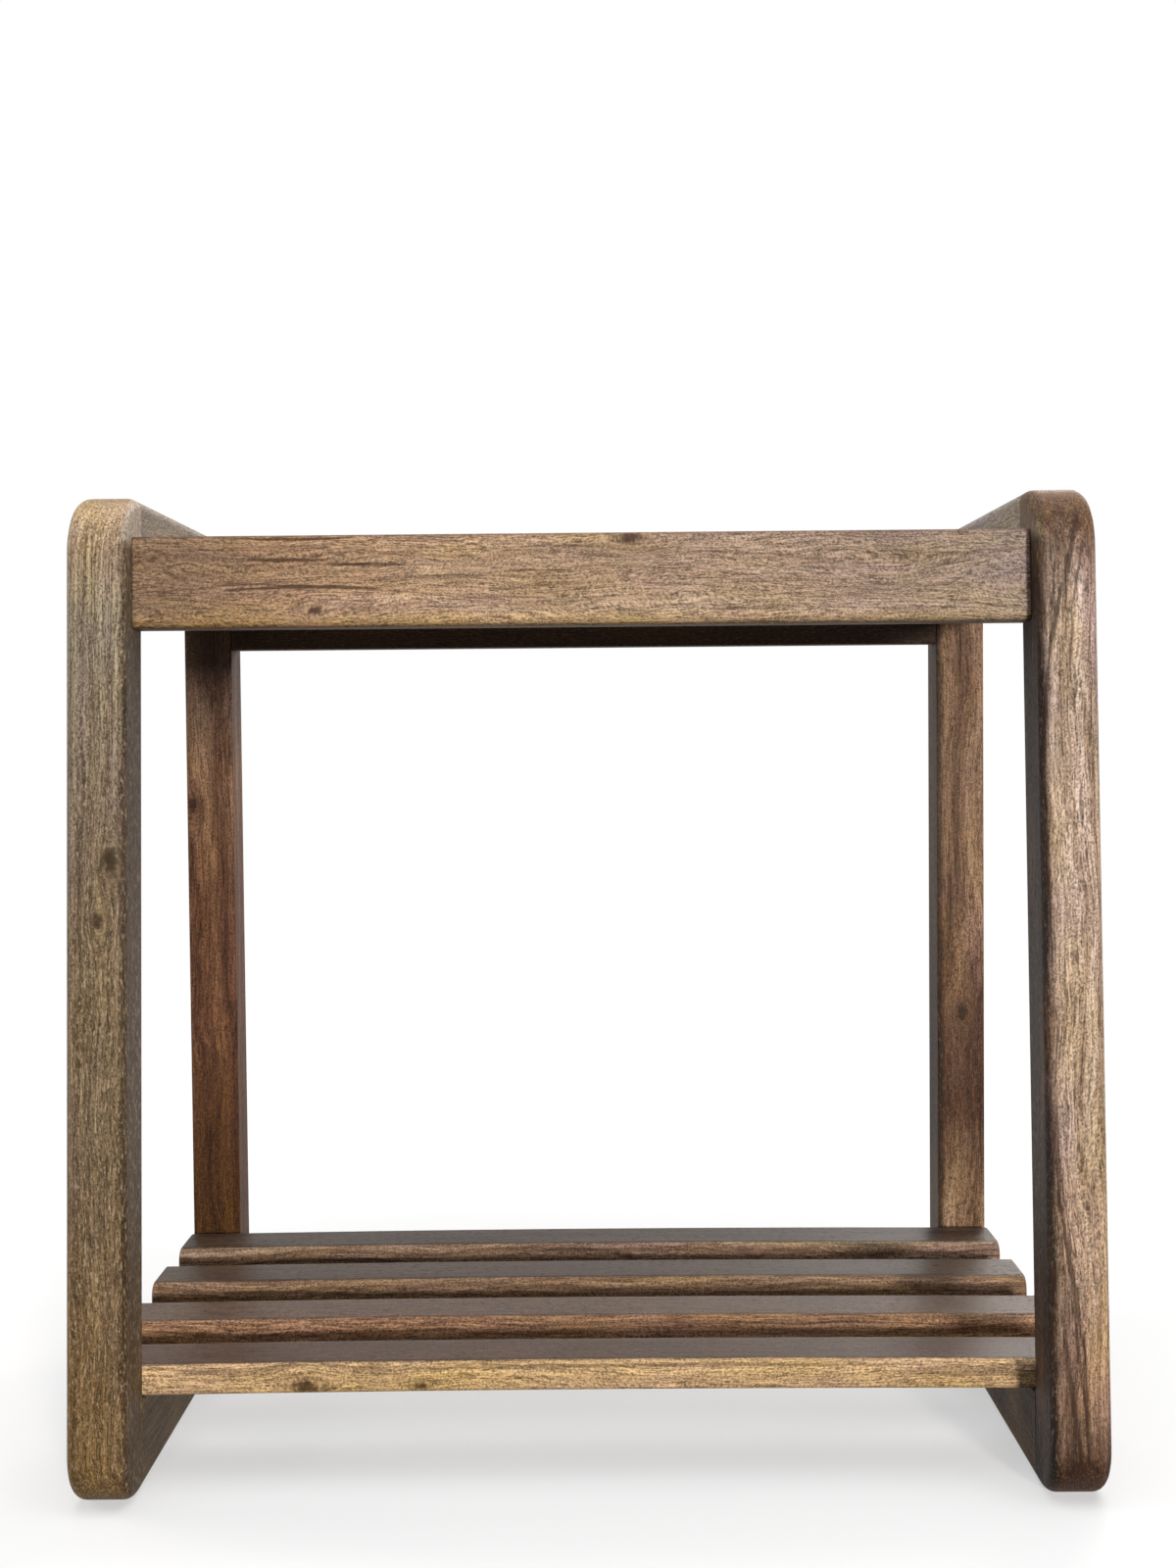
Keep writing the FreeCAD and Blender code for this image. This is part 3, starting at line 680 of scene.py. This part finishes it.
def oiled_wood(board):
    """Oiled hardwood of one board.

    A satin oil leaves the pores open, so the eye sees soft wide highlights broken by short dark dashes, with
    growth bands and dark heart streaks that run on round the rounded edges. The finest fibres are too thin for
    the picture, and are drawn as coarse as it needs.
    """
    scene = bpy.context.scene
    look, grain = BOARD_FIGURE[board], scene.bench_grain
    dark, middle, pale, pore = [tuple(getattr(scene.bench_colours, f"{board}_{shade}")) for shade in SHADES]
    material, tree = new_material(f"oiled_hardwood_{board}")

    # The board's own space in millimetres, its first axis along the grain. Each knot bends it for what follows.
    place = add(tree, COORDINATES)
    millimetres = add(tree, VECTOR_MATH, SCALE, {0: place.outputs["Object"], "Scale": 1 / MM})
    axes = add(tree, SEPARATE, None, {0: millimetres})
    space = add(tree, COMBINE, None, {i: axes.outputs[axis] for i, axis in enumerate(grain_axes(board))})
    knots = []
    for *centre, radius in BOARD_KNOTS.get(board, []):
        space = add(tree, GROUP, {"node_tree": bpy.data.node_groups["knot"]},
                    {"Space": space, "Centre": centre, "Radius": radius})
        knots.append(space)
    pattern = add(tree, GROUP, {"node_tree": bpy.data.node_groups["grain"]}, {
        "Space": space, "Seed": [look.seed * step for step in SEED_STEPS], "Pith": (0, *look.pith),
        "Warp": look.warp, "Ring": look.ring, "Contrast": look.figure, "Pore Length": grain.pore_length / MM,
        "Pore Spacing": grain.pore_width / MM, "Fibre Width": grain.fibre_width / MM}).outputs
    colour = add(tree, RAMP, None, {0: pattern["Figure"]})
    stops = colour.color_ramp.elements
    stops[0].color, stops[1].color = dark, pale
    stops.new(0.5).color = middle

    layers, smooth = [], FIBRE_LEVEL
    facing = add(tree, SEPARATE, None, {0: place.outputs["Normal"]})
    # Painted shade darkens the shelf slats' upward faces, which are also made smoother.
    if board in TOP_PAINTED_SHADE:
        upward = add(tree, RANGE, SMOOTH, {"Value": facing.outputs["Z"], **MASKS["worn top"]})
        top_shade = add(tree, MATH, MULTIPLY, {0: upward, 1: TOP_SHADE_SHARE})
        layers.append((linear(TOP_PAINTED_SHADE[board]), top_shade, "MIX"))
        smooth = add(tree, MATH, MULTIPLY_ADD, {0: upward, 1: TOP_SMOOTHING, 2: smooth})
    layers += zone_layers(tree, board, space, axes)
    layers += tone_layers(tree, board, pattern["Along"])
    in_grain, pores = grain_layers(tree, look, pattern, (dark, pale, pore))
    layers += in_grain + mark_layers(tree, board, space, pore)
    for mask, tint, share in (("Halo", dark, HALO_SHARE), ("Core", pore, CORE_SHARE)):
        for knot in knots:
            layers.append((tint, add(tree, MATH, MULTIPLY, {0: knot.outputs[mask], 1: share}), "MIX"))

    # End grain drinks more oil, so it is darker than the faces.
    along = add(tree, MATH, ABSOLUTE, {0: facing.outputs[grain_axes(board)[0]]})
    end = add(tree, RANGE, SMOOTH, {"Value": along, **MASKS["end grain"], "To Max": END_SHARE})
    layers.append((dark, end, "MIX"))
    for tint, amount, blend in layers:
        laid = add(tree, "ShaderNodeMix", {"data_type": "RGBA", "blend_type": blend},
                   {"Factor": amount, 6: colour, 7: tint})
        colour = laid.outputs[2]

    height = add(tree, MATH, MULTIPLY_ADD, {0: pores, 1: PORE_RELIEF, 2: pattern["Fibre"]})
    bump = add(tree, "ShaderNodeBump", None,
               {"Strength": RELIEF_STRENGTH, "Distance": RELIEF, "Height": height})
    oiled = add(tree, MATH, SUBTRACT, {0: grain.roughness, 1: smooth})
    dull = add(tree, MATH, MULTIPLY_ADD, {0: pores, 1: PORE_ROUGHNESS, 2: oiled})
    rough = add(tree, MATH, MULTIPLY_ADD, {0: pattern["Fibre"], 1: FIBRE_ROUGHNESS, 2: dull})
    surface = add(tree, "ShaderNodeBsdfPrincipled", None, {
        "Base Color": colour, "Roughness": rough, "Normal": bump, "IOR": WOOD_IOR,
        "Specular IOR Level": WOOD_GLOSS})
    add(tree, "ShaderNodeOutputMaterial", None, {"Surface": surface})
    return material


# Shapes.

def leaning_y(inset, height):
    """Y, at a height, of the leaning plane that lies this far behind the front posts' faces."""
    sizes = bpy.context.scene.bench_sizes
    return inset - sizes.foot_depth / 2 + math.tan(sizes.splay) * height


def leaning_point(inset, height):
    """Point (y, z) on a leaning plane."""
    return Vector((leaning_y(inset, height), height))


def corner_arc(before, corner, after, radius):
    """Points of the arc that rounds off a corner between two straight runs."""
    toward_before = (before - corner).normalized()
    toward_after = (after - corner).normalized()
    half = toward_before.angle(toward_after) / 2
    centre = corner + (toward_before + toward_after).normalized() * radius / math.sin(half)
    first = corner + toward_before * radius / math.tan(half) - centre
    last = corner + toward_after * radius / math.tan(half) - centre
    turn = first.angle(last)
    points = []
    for step in range(CORNER_STEPS + 1):
        share = step / CORNER_STEPS
        blend = first * math.sin((1 - share) * turn) + last * math.sin(share * turn)
        points.append(centre + blend / math.sin(turn))
    return points


def prism(outline, near_x, far_x):
    """Solid between two places along X, on an outline of (y, z) points."""
    shape = bmesh.new()
    near, far = [[shape.verts.new((x, *point)) for point in outline] for x in (near_x, far_x)]
    shape.faces.new(near)
    shape.faces.new(far[::-1])
    for i in range(len(outline)):
        shape.faces.new((near[i - 1], near[i], far[i], far[i - 1]))
    bmesh.ops.recalc_face_normals(shape, faces=shape.faces)
    return shape


def round_edges(shape, radius, wanted, steps=EDGE_STEPS):
    """Rounds over the edges of which both ends pass a test and whose faces meet at an angle."""
    edges = [edge for edge in shape.edges
             if all(wanted(vert.co) for vert in edge.verts) and edge.calc_face_angle(0) > FLAT_TURN]
    bmesh.ops.bevel(shape, geom=edges, offset=radius, offset_type="OFFSET", segments=steps,
                    profile=0.5, affect="EDGES", clamp_overlap=False)


def at(value, place):
    """True where a coordinate is at a place."""
    return abs(value - place) < SAME_PLACE


def flipped(shape, flip_x, flip_y):
    """Copy of a shape, mirrored across the bench's middle planes as asked."""
    copy = shape.copy()
    bmesh.ops.transform(copy, matrix=Matrix.Diagonal((-1 if flip_x else 1, -1 if flip_y else 1, 1, 1)),
                        verts=copy.verts)
    bmesh.ops.recalc_face_normals(copy, faces=copy.faces)
    return copy


def place_piece(name, mesh, stands_for):
    """Object that has a finished mesh, rides on the bench and stands for its solids."""
    mesh.set_sharp_from_angle(angle=SHARP_TURN)
    piece = bpy.data.objects.new(name, mesh)
    bpy.context.scene.collection.objects.link(piece)
    even = piece.modifiers.new("Even shading", "WEIGHTED_NORMAL")
    even.mode = "FACE_AREA"
    even.keep_sharp = True
    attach(piece, BODY)
    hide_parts(*stands_for)
    return piece


def place_board(node, shape):
    """Piece from one board's shape, in that board's own wood."""
    mesh = bpy.data.meshes.new(f"{node}_board")
    shape.to_mesh(mesh)
    shape.free()
    mesh.materials.append(oiled_wood(node))
    return place_piece(f"{node}_board", mesh, [node])


def front_post():
    """Left front post: a leaning bar whose rim is rounded over right round the frame's two corners."""
    sizes = bpy.context.scene.bench_sizes
    low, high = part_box("left_front_post")
    window_low, window_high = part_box("left_bottom_rail")[1].z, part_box("left_top_rail")[0].z
    depth = sizes.post_depth
    top_back, top, foot, foot_back = [
        leaning_point(inset, z) for inset, z in ((depth, high.z), (0, high.z), (0, low.z), (depth, low.z))]
    outline = [top_back, *corner_arc(top_back, top, foot, sizes.top_corner)]
    outline += [*corner_arc(top, foot, foot_back, sizes.foot_corner), foot_back]
    outline += [leaning_point(depth, window_low), leaning_point(depth, window_high)]
    shape = prism(outline, low.x, high.x)

    def inward(co):
        return at(co.y, leaning_y(depth, co.z))

    def on_rim(co):
        return not inward(co) or at(co.z, low.z) or at(co.z, high.z)

    round_edges(shape, sizes.outside_edge, lambda co: at(co.x, low.x) and on_rim(co))
    round_edges(shape, sizes.inside_edge, lambda co: at(co.x, high.x) and on_rim(co))
    round_edges(shape, sizes.window_edge,
                lambda co: inward(co) and window_low - MM < co.z < window_high + MM)
    round_edges(shape, sizes.arris, inward, steps=1)
    return shape


def side_rail(node):
    """Left-hand rail between the posts' inward faces, rounded to match them."""
    sizes = bpy.context.scene.bench_sizes
    low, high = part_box(node)
    post_low, post_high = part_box("left_front_post")
    is_top = at(high.z, post_high.z)
    depth = sizes.post_depth
    corners = [leaning_point(depth, z) for z in (low.z, high.z)]
    outline = [corners[0], corners[1], Vector((-corners[1].x, high.z)), Vector((-corners[0].x, low.z))]
    shape = prism(outline, post_low.x, post_high.x)
    rim, window = (high.z, low.z) if is_top else (low.z, high.z)
    round_edges(shape, sizes.outside_edge, lambda co: at(co.x, post_low.x) and at(co.z, rim))
    round_edges(shape, sizes.inside_edge, lambda co: at(co.x, post_high.x) and at(co.z, rim))
    round_edges(shape, sizes.window_edge, lambda co: at(co.z, window) and not at(abs(co.y), 0))

    def at_end(co):
        return at(abs(co.y), -leaning_y(depth, co.z))

    round_edges(shape, sizes.arris, at_end, steps=1)
    return shape


def apron_board():
    """Front apron: a leaning board between the posts, its long edges rounded by hand."""
    sizes = bpy.context.scene.bench_sizes
    low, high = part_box("front_apron")
    reach = -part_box("left_front_post")[1].x
    recess, depth = sizes.apron_recess, sizes.post_depth
    outline = [leaning_point(recess, low.z), leaning_point(depth, low.z),
               leaning_point(depth, high.z), leaning_point(recess, high.z)]
    shape = prism(outline, -reach, reach)

    def at_front(co):
        return at(co.y, leaning_y(recess, co.z))

    def at_back(co):
        return at(co.y, leaning_y(depth, co.z))

    round_edges(shape, sizes.apron_lower_edge, lambda co: at_front(co) and at(co.z, low.z))
    round_edges(shape, sizes.apron_upper_edge, lambda co: at_front(co) and at(co.z, high.z))
    round_edges(shape, sizes.apron_back_edge, lambda co: at_back(co) and (at(co.z, low.z) or at(co.z, high.z)))
    round_edges(shape, sizes.arris, lambda co: at(abs(co.x), reach), steps=1)
    return shape


def cleat_board():
    """Left cleat: a plain batten with one rounded lower edge."""
    sizes = bpy.context.scene.bench_sizes
    low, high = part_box("left_seat_cleat")
    wall_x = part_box("left_front_post")[1].x
    outline = [Vector((y, z)) for y, z in ((low.y, low.z), (high.y, low.z), (high.y, high.z), (low.y, high.z))]
    shape = prism(outline, wall_x, high.x)
    round_edges(shape, sizes.cleat_edge, lambda co: at(co.x, high.x) and at(co.z, low.z))
    round_edges(shape, sizes.arris, lambda co: at(co.y, low.y) or at(co.y, high.y), steps=1)
    return shape


def slat_tree():
    """Row of slats: a rounded profile drawn along each slat, crowned, eased at its ends and repeated."""
    lengths = ("Length", "Width", "Thickness", "Top Edge", "Bottom Edge", "End Ease", "Crown",
               "First Y", "Pitch", "Middle Z")
    woods = [f"Wood {number}" for number in range(1, 5)]
    tree, given, result = new_group(
        "slat_row", "GeometryNodeTree",
        {**dict.fromkeys(lengths, FLOAT), "Count": "NodeSocketInt",
         **dict.fromkeys(woods, "NodeSocketMaterial")},
        {"Slats": "NodeSocketGeometry"})

    # Profile, whose top edges come out at negative Y once it is drawn along X.
    place = add(tree, "GeometryNodeInputPosition")
    parts = add(tree, SEPARATE, None, {0: place})
    is_top = add(tree, COMPARE, {"operation": "LESS_THAN"}, {0: parts.outputs["Y"], 1: 0.0})
    radius = add(tree, "GeometryNodeSwitch", {"input_type": "FLOAT"},
                 {"Switch": is_top, "False": given["Bottom Edge"], "True": given["Top Edge"]})
    board = add(tree, "GeometryNodeCurvePrimitiveQuadrilateral", None,
                {"Width": given["Width"], "Height": given["Thickness"]})
    rounded = add(tree, "GeometryNodeFilletCurve", {"mode": "POLY"},
                  {"Curve": board, "Count": EDGE_STEPS, "Radius": radius, "Limit Radius": True})

    # Spine, with a station close to each end for the eased edge.
    half = add(tree, MATH, DIVIDE, {0: given["Length"], 1: 2})
    minus = add(tree, MATH, MULTIPLY, {0: half, 1: -1})
    start, stop = [add(tree, COMBINE, None, {0: x}) for x in (minus, half)]
    line = add(tree, "GeometryNodeCurvePrimitiveLine", None, {"Start": start, "End": stop})
    spine = add(tree, "GeometryNodeResampleCurve", None, {"Curve": line, "Count": SLAT_STATIONS})
    index = add(tree, "GeometryNodeInputIndex")
    near_end = add(tree, MATH, SUBTRACT, {0: half, 1: given["End Ease"]})
    for station, side in ((1, -1), (SLAT_STATIONS - 2, 1)):
        chosen = add(tree, COMPARE, SAME_NUMBER, {2: index, 3: station})
        x = add(tree, MATH, MULTIPLY, {0: near_end, 1: side})
        target = add(tree, COMBINE, None, {0: x})
        spine = add(tree, MOVE, None, {"Geometry": spine, "Selection": chosen, "Position": target})
    bar = add(tree, "GeometryNodeCurveToMesh", None,
              {"Curve": spine, "Profile Curve": rounded, "Fill Caps": True})

    # Ends: the last ring of points draws in by the ease.
    ratio = add(tree, MATH, DIVIDE, {0: parts, 1: half})
    spread = add(tree, MATH, ABSOLUTE, {0: ratio})
    at_end = add(tree, COMPARE, {"operation": "GREATER_THAN"}, {0: spread, 1: LAST_RING})
    inward = []
    for axis in "YZ":
        sign = add(tree, MATH, {"operation": "SIGN"}, {0: parts.outputs[axis]})
        ease = add(tree, MATH, MULTIPLY, {0: sign, 1: given["End Ease"]})
        inward.append(add(tree, MATH, MULTIPLY, {0: ease, 1: -1}))
    draw = add(tree, COMBINE, None, {1: inward[0], 2: inward[1]})
    eased = add(tree, MOVE, None, {"Geometry": bar, "Selection": at_end, "Offset": draw})

    # Crown: a long shallow arch that is level with the rails at both ends.
    square = add(tree, MATH, POWER, {0: spread, 1: 2})
    rest = add(tree, MATH, SUBTRACT, {0: 1, 1: square})
    lift = add(tree, MATH, MULTIPLY, {0: rest, 1: given["Crown"]})
    up = add(tree, COMBINE, None, {2: lift})
    slat = add(tree, MOVE, None, {"Geometry": eased, "Offset": up})

    # Row, in which each slat has its own wood.
    first = add(tree, COMBINE, None, {1: given["First Y"], 2: given["Middle Z"]})
    step = add(tree, COMBINE, None, {1: given["Pitch"]})
    row = add(tree, "GeometryNodeMeshLine", None,
              {"Count": given["Count"], "Start Location": first, "Offset": step})
    copies = add(tree, "GeometryNodeInstanceOnPoints", None, {"Points": row, "Instance": slat})
    numbered = add(tree, "GeometryNodeCaptureAttribute", {"domain": "INSTANCE"}, {0: copies})
    numbered.capture_items.new("INT", "Number")
    feed(tree, numbered, {1: index})
    solid = add(tree, "GeometryNodeRealizeInstances", None, {"Geometry": numbered})
    for number, wood in enumerate(woods):
        chosen = add(tree, COMPARE, SAME_NUMBER, {2: numbered.outputs[1], 3: number})
        solid = add(tree, "GeometryNodeSetMaterial", None,
                    {"Geometry": solid, "Selection": chosen, "Material": given[wood]})
    feed(tree, result, {0: solid})
    return tree


def slat_row(kind, crown):
    """Plain mesh of the shelf's or the seat's slats, evaluated from the slat tree."""
    sizes = bpy.context.scene.bench_sizes
    nodes = [f"{kind}_slat_{number}" for number in range(1, 5)]
    boxes = [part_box(node) for node in nodes]
    low, high = boxes[0]
    middles = [(near.y + far.y) / 2 for near, far in boxes]
    values = {
        "Length": high.x - low.x, "Width": high.y - low.y, "Thickness": high.z - low.z,
        "Top Edge": sizes.slat_top_edge, "Bottom Edge": sizes.slat_bottom_edge, "End Ease": sizes.slat_end_ease,
        "Crown": crown, "First Y": middles[0], "Pitch": middles[1] - middles[0],
        "Middle Z": (low.z + high.z) / 2, "Count": len(nodes),
    }
    values.update({f"Wood {number}": oiled_wood(node) for number, node in enumerate(nodes, 1)})
    tree = bpy.data.node_groups.get("slat_row") or slat_tree()
    maker = bpy.data.objects.new(f"{kind}_slat_maker", bpy.data.meshes.new(f"{kind}_slat_maker"))
    bpy.context.scene.collection.objects.link(maker)
    modifier = maker.modifiers.new("Slats", "NODES")
    modifier.node_group = tree
    for item in tree.interface.items_tree:
        if item.in_out == "INPUT":
            modifier[item.identifier] = values[item.name]
    evaluated = maker.evaluated_get(bpy.context.evaluated_depsgraph_get())
    mesh = bpy.data.meshes.new_from_object(evaluated)
    mesh.name = f"{kind}_slats"
    bpy.data.objects.remove(maker)
    if mesh.materials[0] is None:
        mesh.materials.pop(index=0)
    woods = {mesh.materials[face.material_index].name for face in mesh.polygons}
    if len(woods) != len(nodes):
        raise RuntimeError(f"the {kind} slats came out with {len(woods)} woods")
    return place_piece(f"{kind}_slats", mesh, nodes)


# Operators.

class BENCH_OT_posts(bpy.types.Operator):
    """Makes the four posts of the side frames"""

    bl_idname = "bench.posts"
    bl_label = "Posts"

    def execute(self, context):
        shape = front_post()
        for side, flip_x in SIDES:
            for end, flip_y in ENDS:
                place_board(f"{side}_{end}_post", flipped(shape, flip_x, flip_y))
        shape.free()
        return {"FINISHED"}


class BENCH_OT_side_rails(bpy.types.Operator):
    """Makes the top and bottom rails of the side frames"""

    bl_idname = "bench.side_rails"
    bl_label = "Side rails"

    def execute(self, context):
        for level in ("top", "bottom"):
            shape = side_rail(f"left_{level}_rail")
            for side, flip_x in SIDES:
                place_board(f"{side}_{level}_rail", flipped(shape, flip_x, False))
            shape.free()
        return {"FINISHED"}


class BENCH_OT_aprons(bpy.types.Operator):
    """Makes the front and rear aprons"""

    bl_idname = "bench.aprons"
    bl_label = "Aprons"

    def execute(self, context):
        shape = apron_board()
        for end, flip_y in ENDS:
            place_board(f"{end}_apron", flipped(shape, False, flip_y))
        shape.free()
        return {"FINISHED"}


class BENCH_OT_shelf_slats(bpy.types.Operator):
    """Makes the shelf's four slats"""

    bl_idname = "bench.shelf_slats"
    bl_label = "Shelf slats"

    def execute(self, context):
        slat_row("shelf", context.scene.bench_sizes.slat_crown)
        return {"FINISHED"}


class BENCH_OT_seat_slats(bpy.types.Operator):
    """Makes the seat's four slats"""

    bl_idname = "bench.seat_slats"
    bl_label = "Seat slats"

    def execute(self, context):
        slat_row("seat", 0)
        return {"FINISHED"}


class BENCH_OT_cleats(bpy.types.Operator):
    """Makes the two cleats that carry the seat"""

    bl_idname = "bench.cleats"
    bl_label = "Seat cleats"

    def execute(self, context):
        shape = cleat_board()
        for side, flip_x in SIDES:
            place_board(f"{side}_seat_cleat", flipped(shape, flip_x, False))
        shape.free()
        return {"FINISHED"}


class BENCH_OT_loose_tenons(bpy.types.Operator):
    """Gives the loose tenons inside the joints their wood"""

    bl_idname = "bench.loose_tenons"
    bl_label = "Loose tenons"

    def execute(self, context):
        wood = oiled_wood("loose_tenons")
        for node in ("shelf_loose_tenons", "seat_loose_tenons"):
            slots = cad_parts[node].material_slots
            if not slots:
                raise RuntimeError(f"{node} has no material slot")
            for slot in slots:
                slot.material = wood
        return {"FINISHED"}


# Stage.

def seen_directly(tree):
    """Factor that is one where the camera, a reflection or a clear part sees a surface, and else nought."""
    path = add(tree, "ShaderNodeLightPath")
    seen = add(tree, MATH, MAXIMUM, {0: path.outputs["Is Camera Ray"], 1: path.outputs["Is Glossy Ray"]})
    return add(tree, MATH, MAXIMUM, {0: seen, 1: path.outputs["Is Transmission Ray"]})


def floor_paint(pale, bounce):
    """Matt painted floor: pale to the eye, white toward its edge, and dim in the light that it throws back."""
    material, tree = new_material("matt_painted_floor")
    seen = seen_directly(tree)
    colour = add(tree, "ShaderNodeMix", {"data_type": "RGBA"}, {"Factor": seen, 6: bounce, 7: pale})
    matt = add(tree, "ShaderNodeBsdfDiffuse", None, {"Color": colour.outputs[2]})
    glow = add(tree, "ShaderNodeEmission", None, {"Color": linear("ffffff"), "Strength": 1})
    place = add(tree, COORDINATES)
    distance = add(tree, VECTOR_MATH, LENGTH, {0: place.outputs["Object"]})
    fade = add(tree, RANGE, SMOOTH, {"Value": distance.outputs["Value"], **FLOOR_FADE})
    share = add(tree, MATH, MULTIPLY, {0: fade, 1: seen})
    surface = add(tree, "ShaderNodeMixShader", None, {0: share, 1: matt, 2: glow})
    add(tree, "ShaderNodeOutputMaterial", None, {"Surface": surface})
    return material


def area_lamp(name, place, size, tint, watts):
    """Soft rectangular lamp aimed at the bench."""
    data = bpy.data.lights.new(name, "AREA")
    data.shape = "RECTANGLE"
    data.size, data.size_y = size
    data.energy = watts
    data.color = linear(tint)[:3]
    lamp = bpy.data.objects.new(name, data)
    lamp.location = place
    lamp.rotation_euler = (Vector(LAMP_TARGET) - Vector(place)).to_track_quat("-Z", "Y").to_euler()
    bpy.context.scene.collection.objects.link(lamp)


def camera_view():
    """Camera where the photograph was taken from."""
    level_right = Vector((math.cos(CAMERA_YAW), -math.sin(CAMERA_YAW), 0))
    ahead = Vector((math.sin(CAMERA_YAW), math.cos(CAMERA_YAW), 0))
    upright = Vector((0, 0, 1))
    right = level_right * math.cos(CAMERA_ROLL) - upright * math.sin(CAMERA_ROLL)
    up = level_right * math.sin(CAMERA_ROLL) + upright * math.cos(CAMERA_ROLL)
    data = bpy.data.cameras.new("photo_view")
    data.sensor_width = CAMERA_SENSOR
    data.lens = CAMERA_LENS
    data.shift_y = CAMERA_SHIFT
    data.clip_start = CAMERA_CLIP
    camera = bpy.data.objects.new("photo_view", data)
    turn = Matrix((right, up, -ahead)).transposed()
    camera.matrix_world = Matrix.Translation(CAMERA_PLACE) @ turn.to_4x4()
    bpy.context.scene.collection.objects.link(camera)
    bpy.context.scene.camera = camera


class BENCH_OT_stage(bpy.types.Operator):
    """Makes the floor, the background, the lamps and the camera"""

    bl_idname = "bench.stage"
    bl_label = "Stage"

    def execute(self, context):
        scene = context.scene
        settings = scene.bench_stage
        mesh = bpy.data.meshes.new("floor")
        corners = [(x * FLOOR_REACH, y * FLOOR_REACH, 0) for x, y in ((-1, -1), (1, -1), (1, 1), (-1, 1))]
        mesh.from_pydata(corners, [], [(0, 1, 2, 3)])
        mesh.materials.append(floor_paint(tuple(settings.floor_colour), tuple(settings.bounce_colour)))
        floor = bpy.data.objects.new("floor", mesh)
        scene.collection.objects.link(floor)

        world = scene.world or bpy.data.worlds.new("studio")
        scene.world = world
        world.use_nodes = True
        tree = world.node_tree
        tree.nodes.clear()
        strength = add(tree, RANGE, None, {"Value": seen_directly(tree), "To Min": settings.room_light})
        light = add(tree, "ShaderNodeBackground", None, {"Color": linear("ffffff"), "Strength": strength})
        add(tree, "ShaderNodeOutputWorld", None, {"Surface": light})

        for name, (place, size, tint) in LAMPS.items():
            area_lamp(name, place, size, tint, getattr(settings, f"{name}_power"))
        camera_view()
        scene.view_settings.view_transform = "Standard"
        return {"FINISHED"}


class BENCH_PT_panel(bpy.types.Panel):
    """Lists the bench's pieces in the sidebar"""

    bl_idname = "BENCH_PT_panel"
    bl_label = "Slatted Bench"
    bl_space_type = "VIEW_3D"
    bl_region_type = "UI"
    bl_category = "Bench"

    def draw(self, context):
        for maker in MAKERS:
            self.layout.operator(maker.bl_idname)
        for group in SCENE_GROUPS:
            settings = getattr(context.scene, group)
            for name in settings.__annotations__:
                self.layout.prop(settings, name)


MAKERS = (
    BENCH_OT_posts, BENCH_OT_side_rails, BENCH_OT_aprons, BENCH_OT_shelf_slats, BENCH_OT_seat_slats,
    BENCH_OT_cleats, BENCH_OT_loose_tenons, BENCH_OT_stage,
)
SCENE_GROUPS = {
    "bench_sizes": BenchSizes, "bench_grain": WoodGrain, "bench_colours": BoardColours,
    "bench_stage": StageSettings,
}
CLASSES = (*SCENE_GROUPS.values(), *MAKERS, BENCH_PT_panel)


def register():
    for entry in CLASSES:
        bpy.utils.register_class(entry)
    for name, group in SCENE_GROUPS.items():
        setattr(bpy.types.Scene, name, bpy.props.PointerProperty(type=group))


def unregister():
    for name in SCENE_GROUPS:
        delattr(bpy.types.Scene, name)
    for entry in reversed(CLASSES):
        bpy.utils.unregister_class(entry)


def main():
    """Makes the whole bench."""
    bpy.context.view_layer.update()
    register()
    for make_group in (knot_group, mark_group, grain_group):
        make_group()
    for maker in MAKERS:
        section, name = maker.bl_idname.split(".")
        getattr(getattr(bpy.ops, section), name)()


if __name__ == "__main__":
    main()
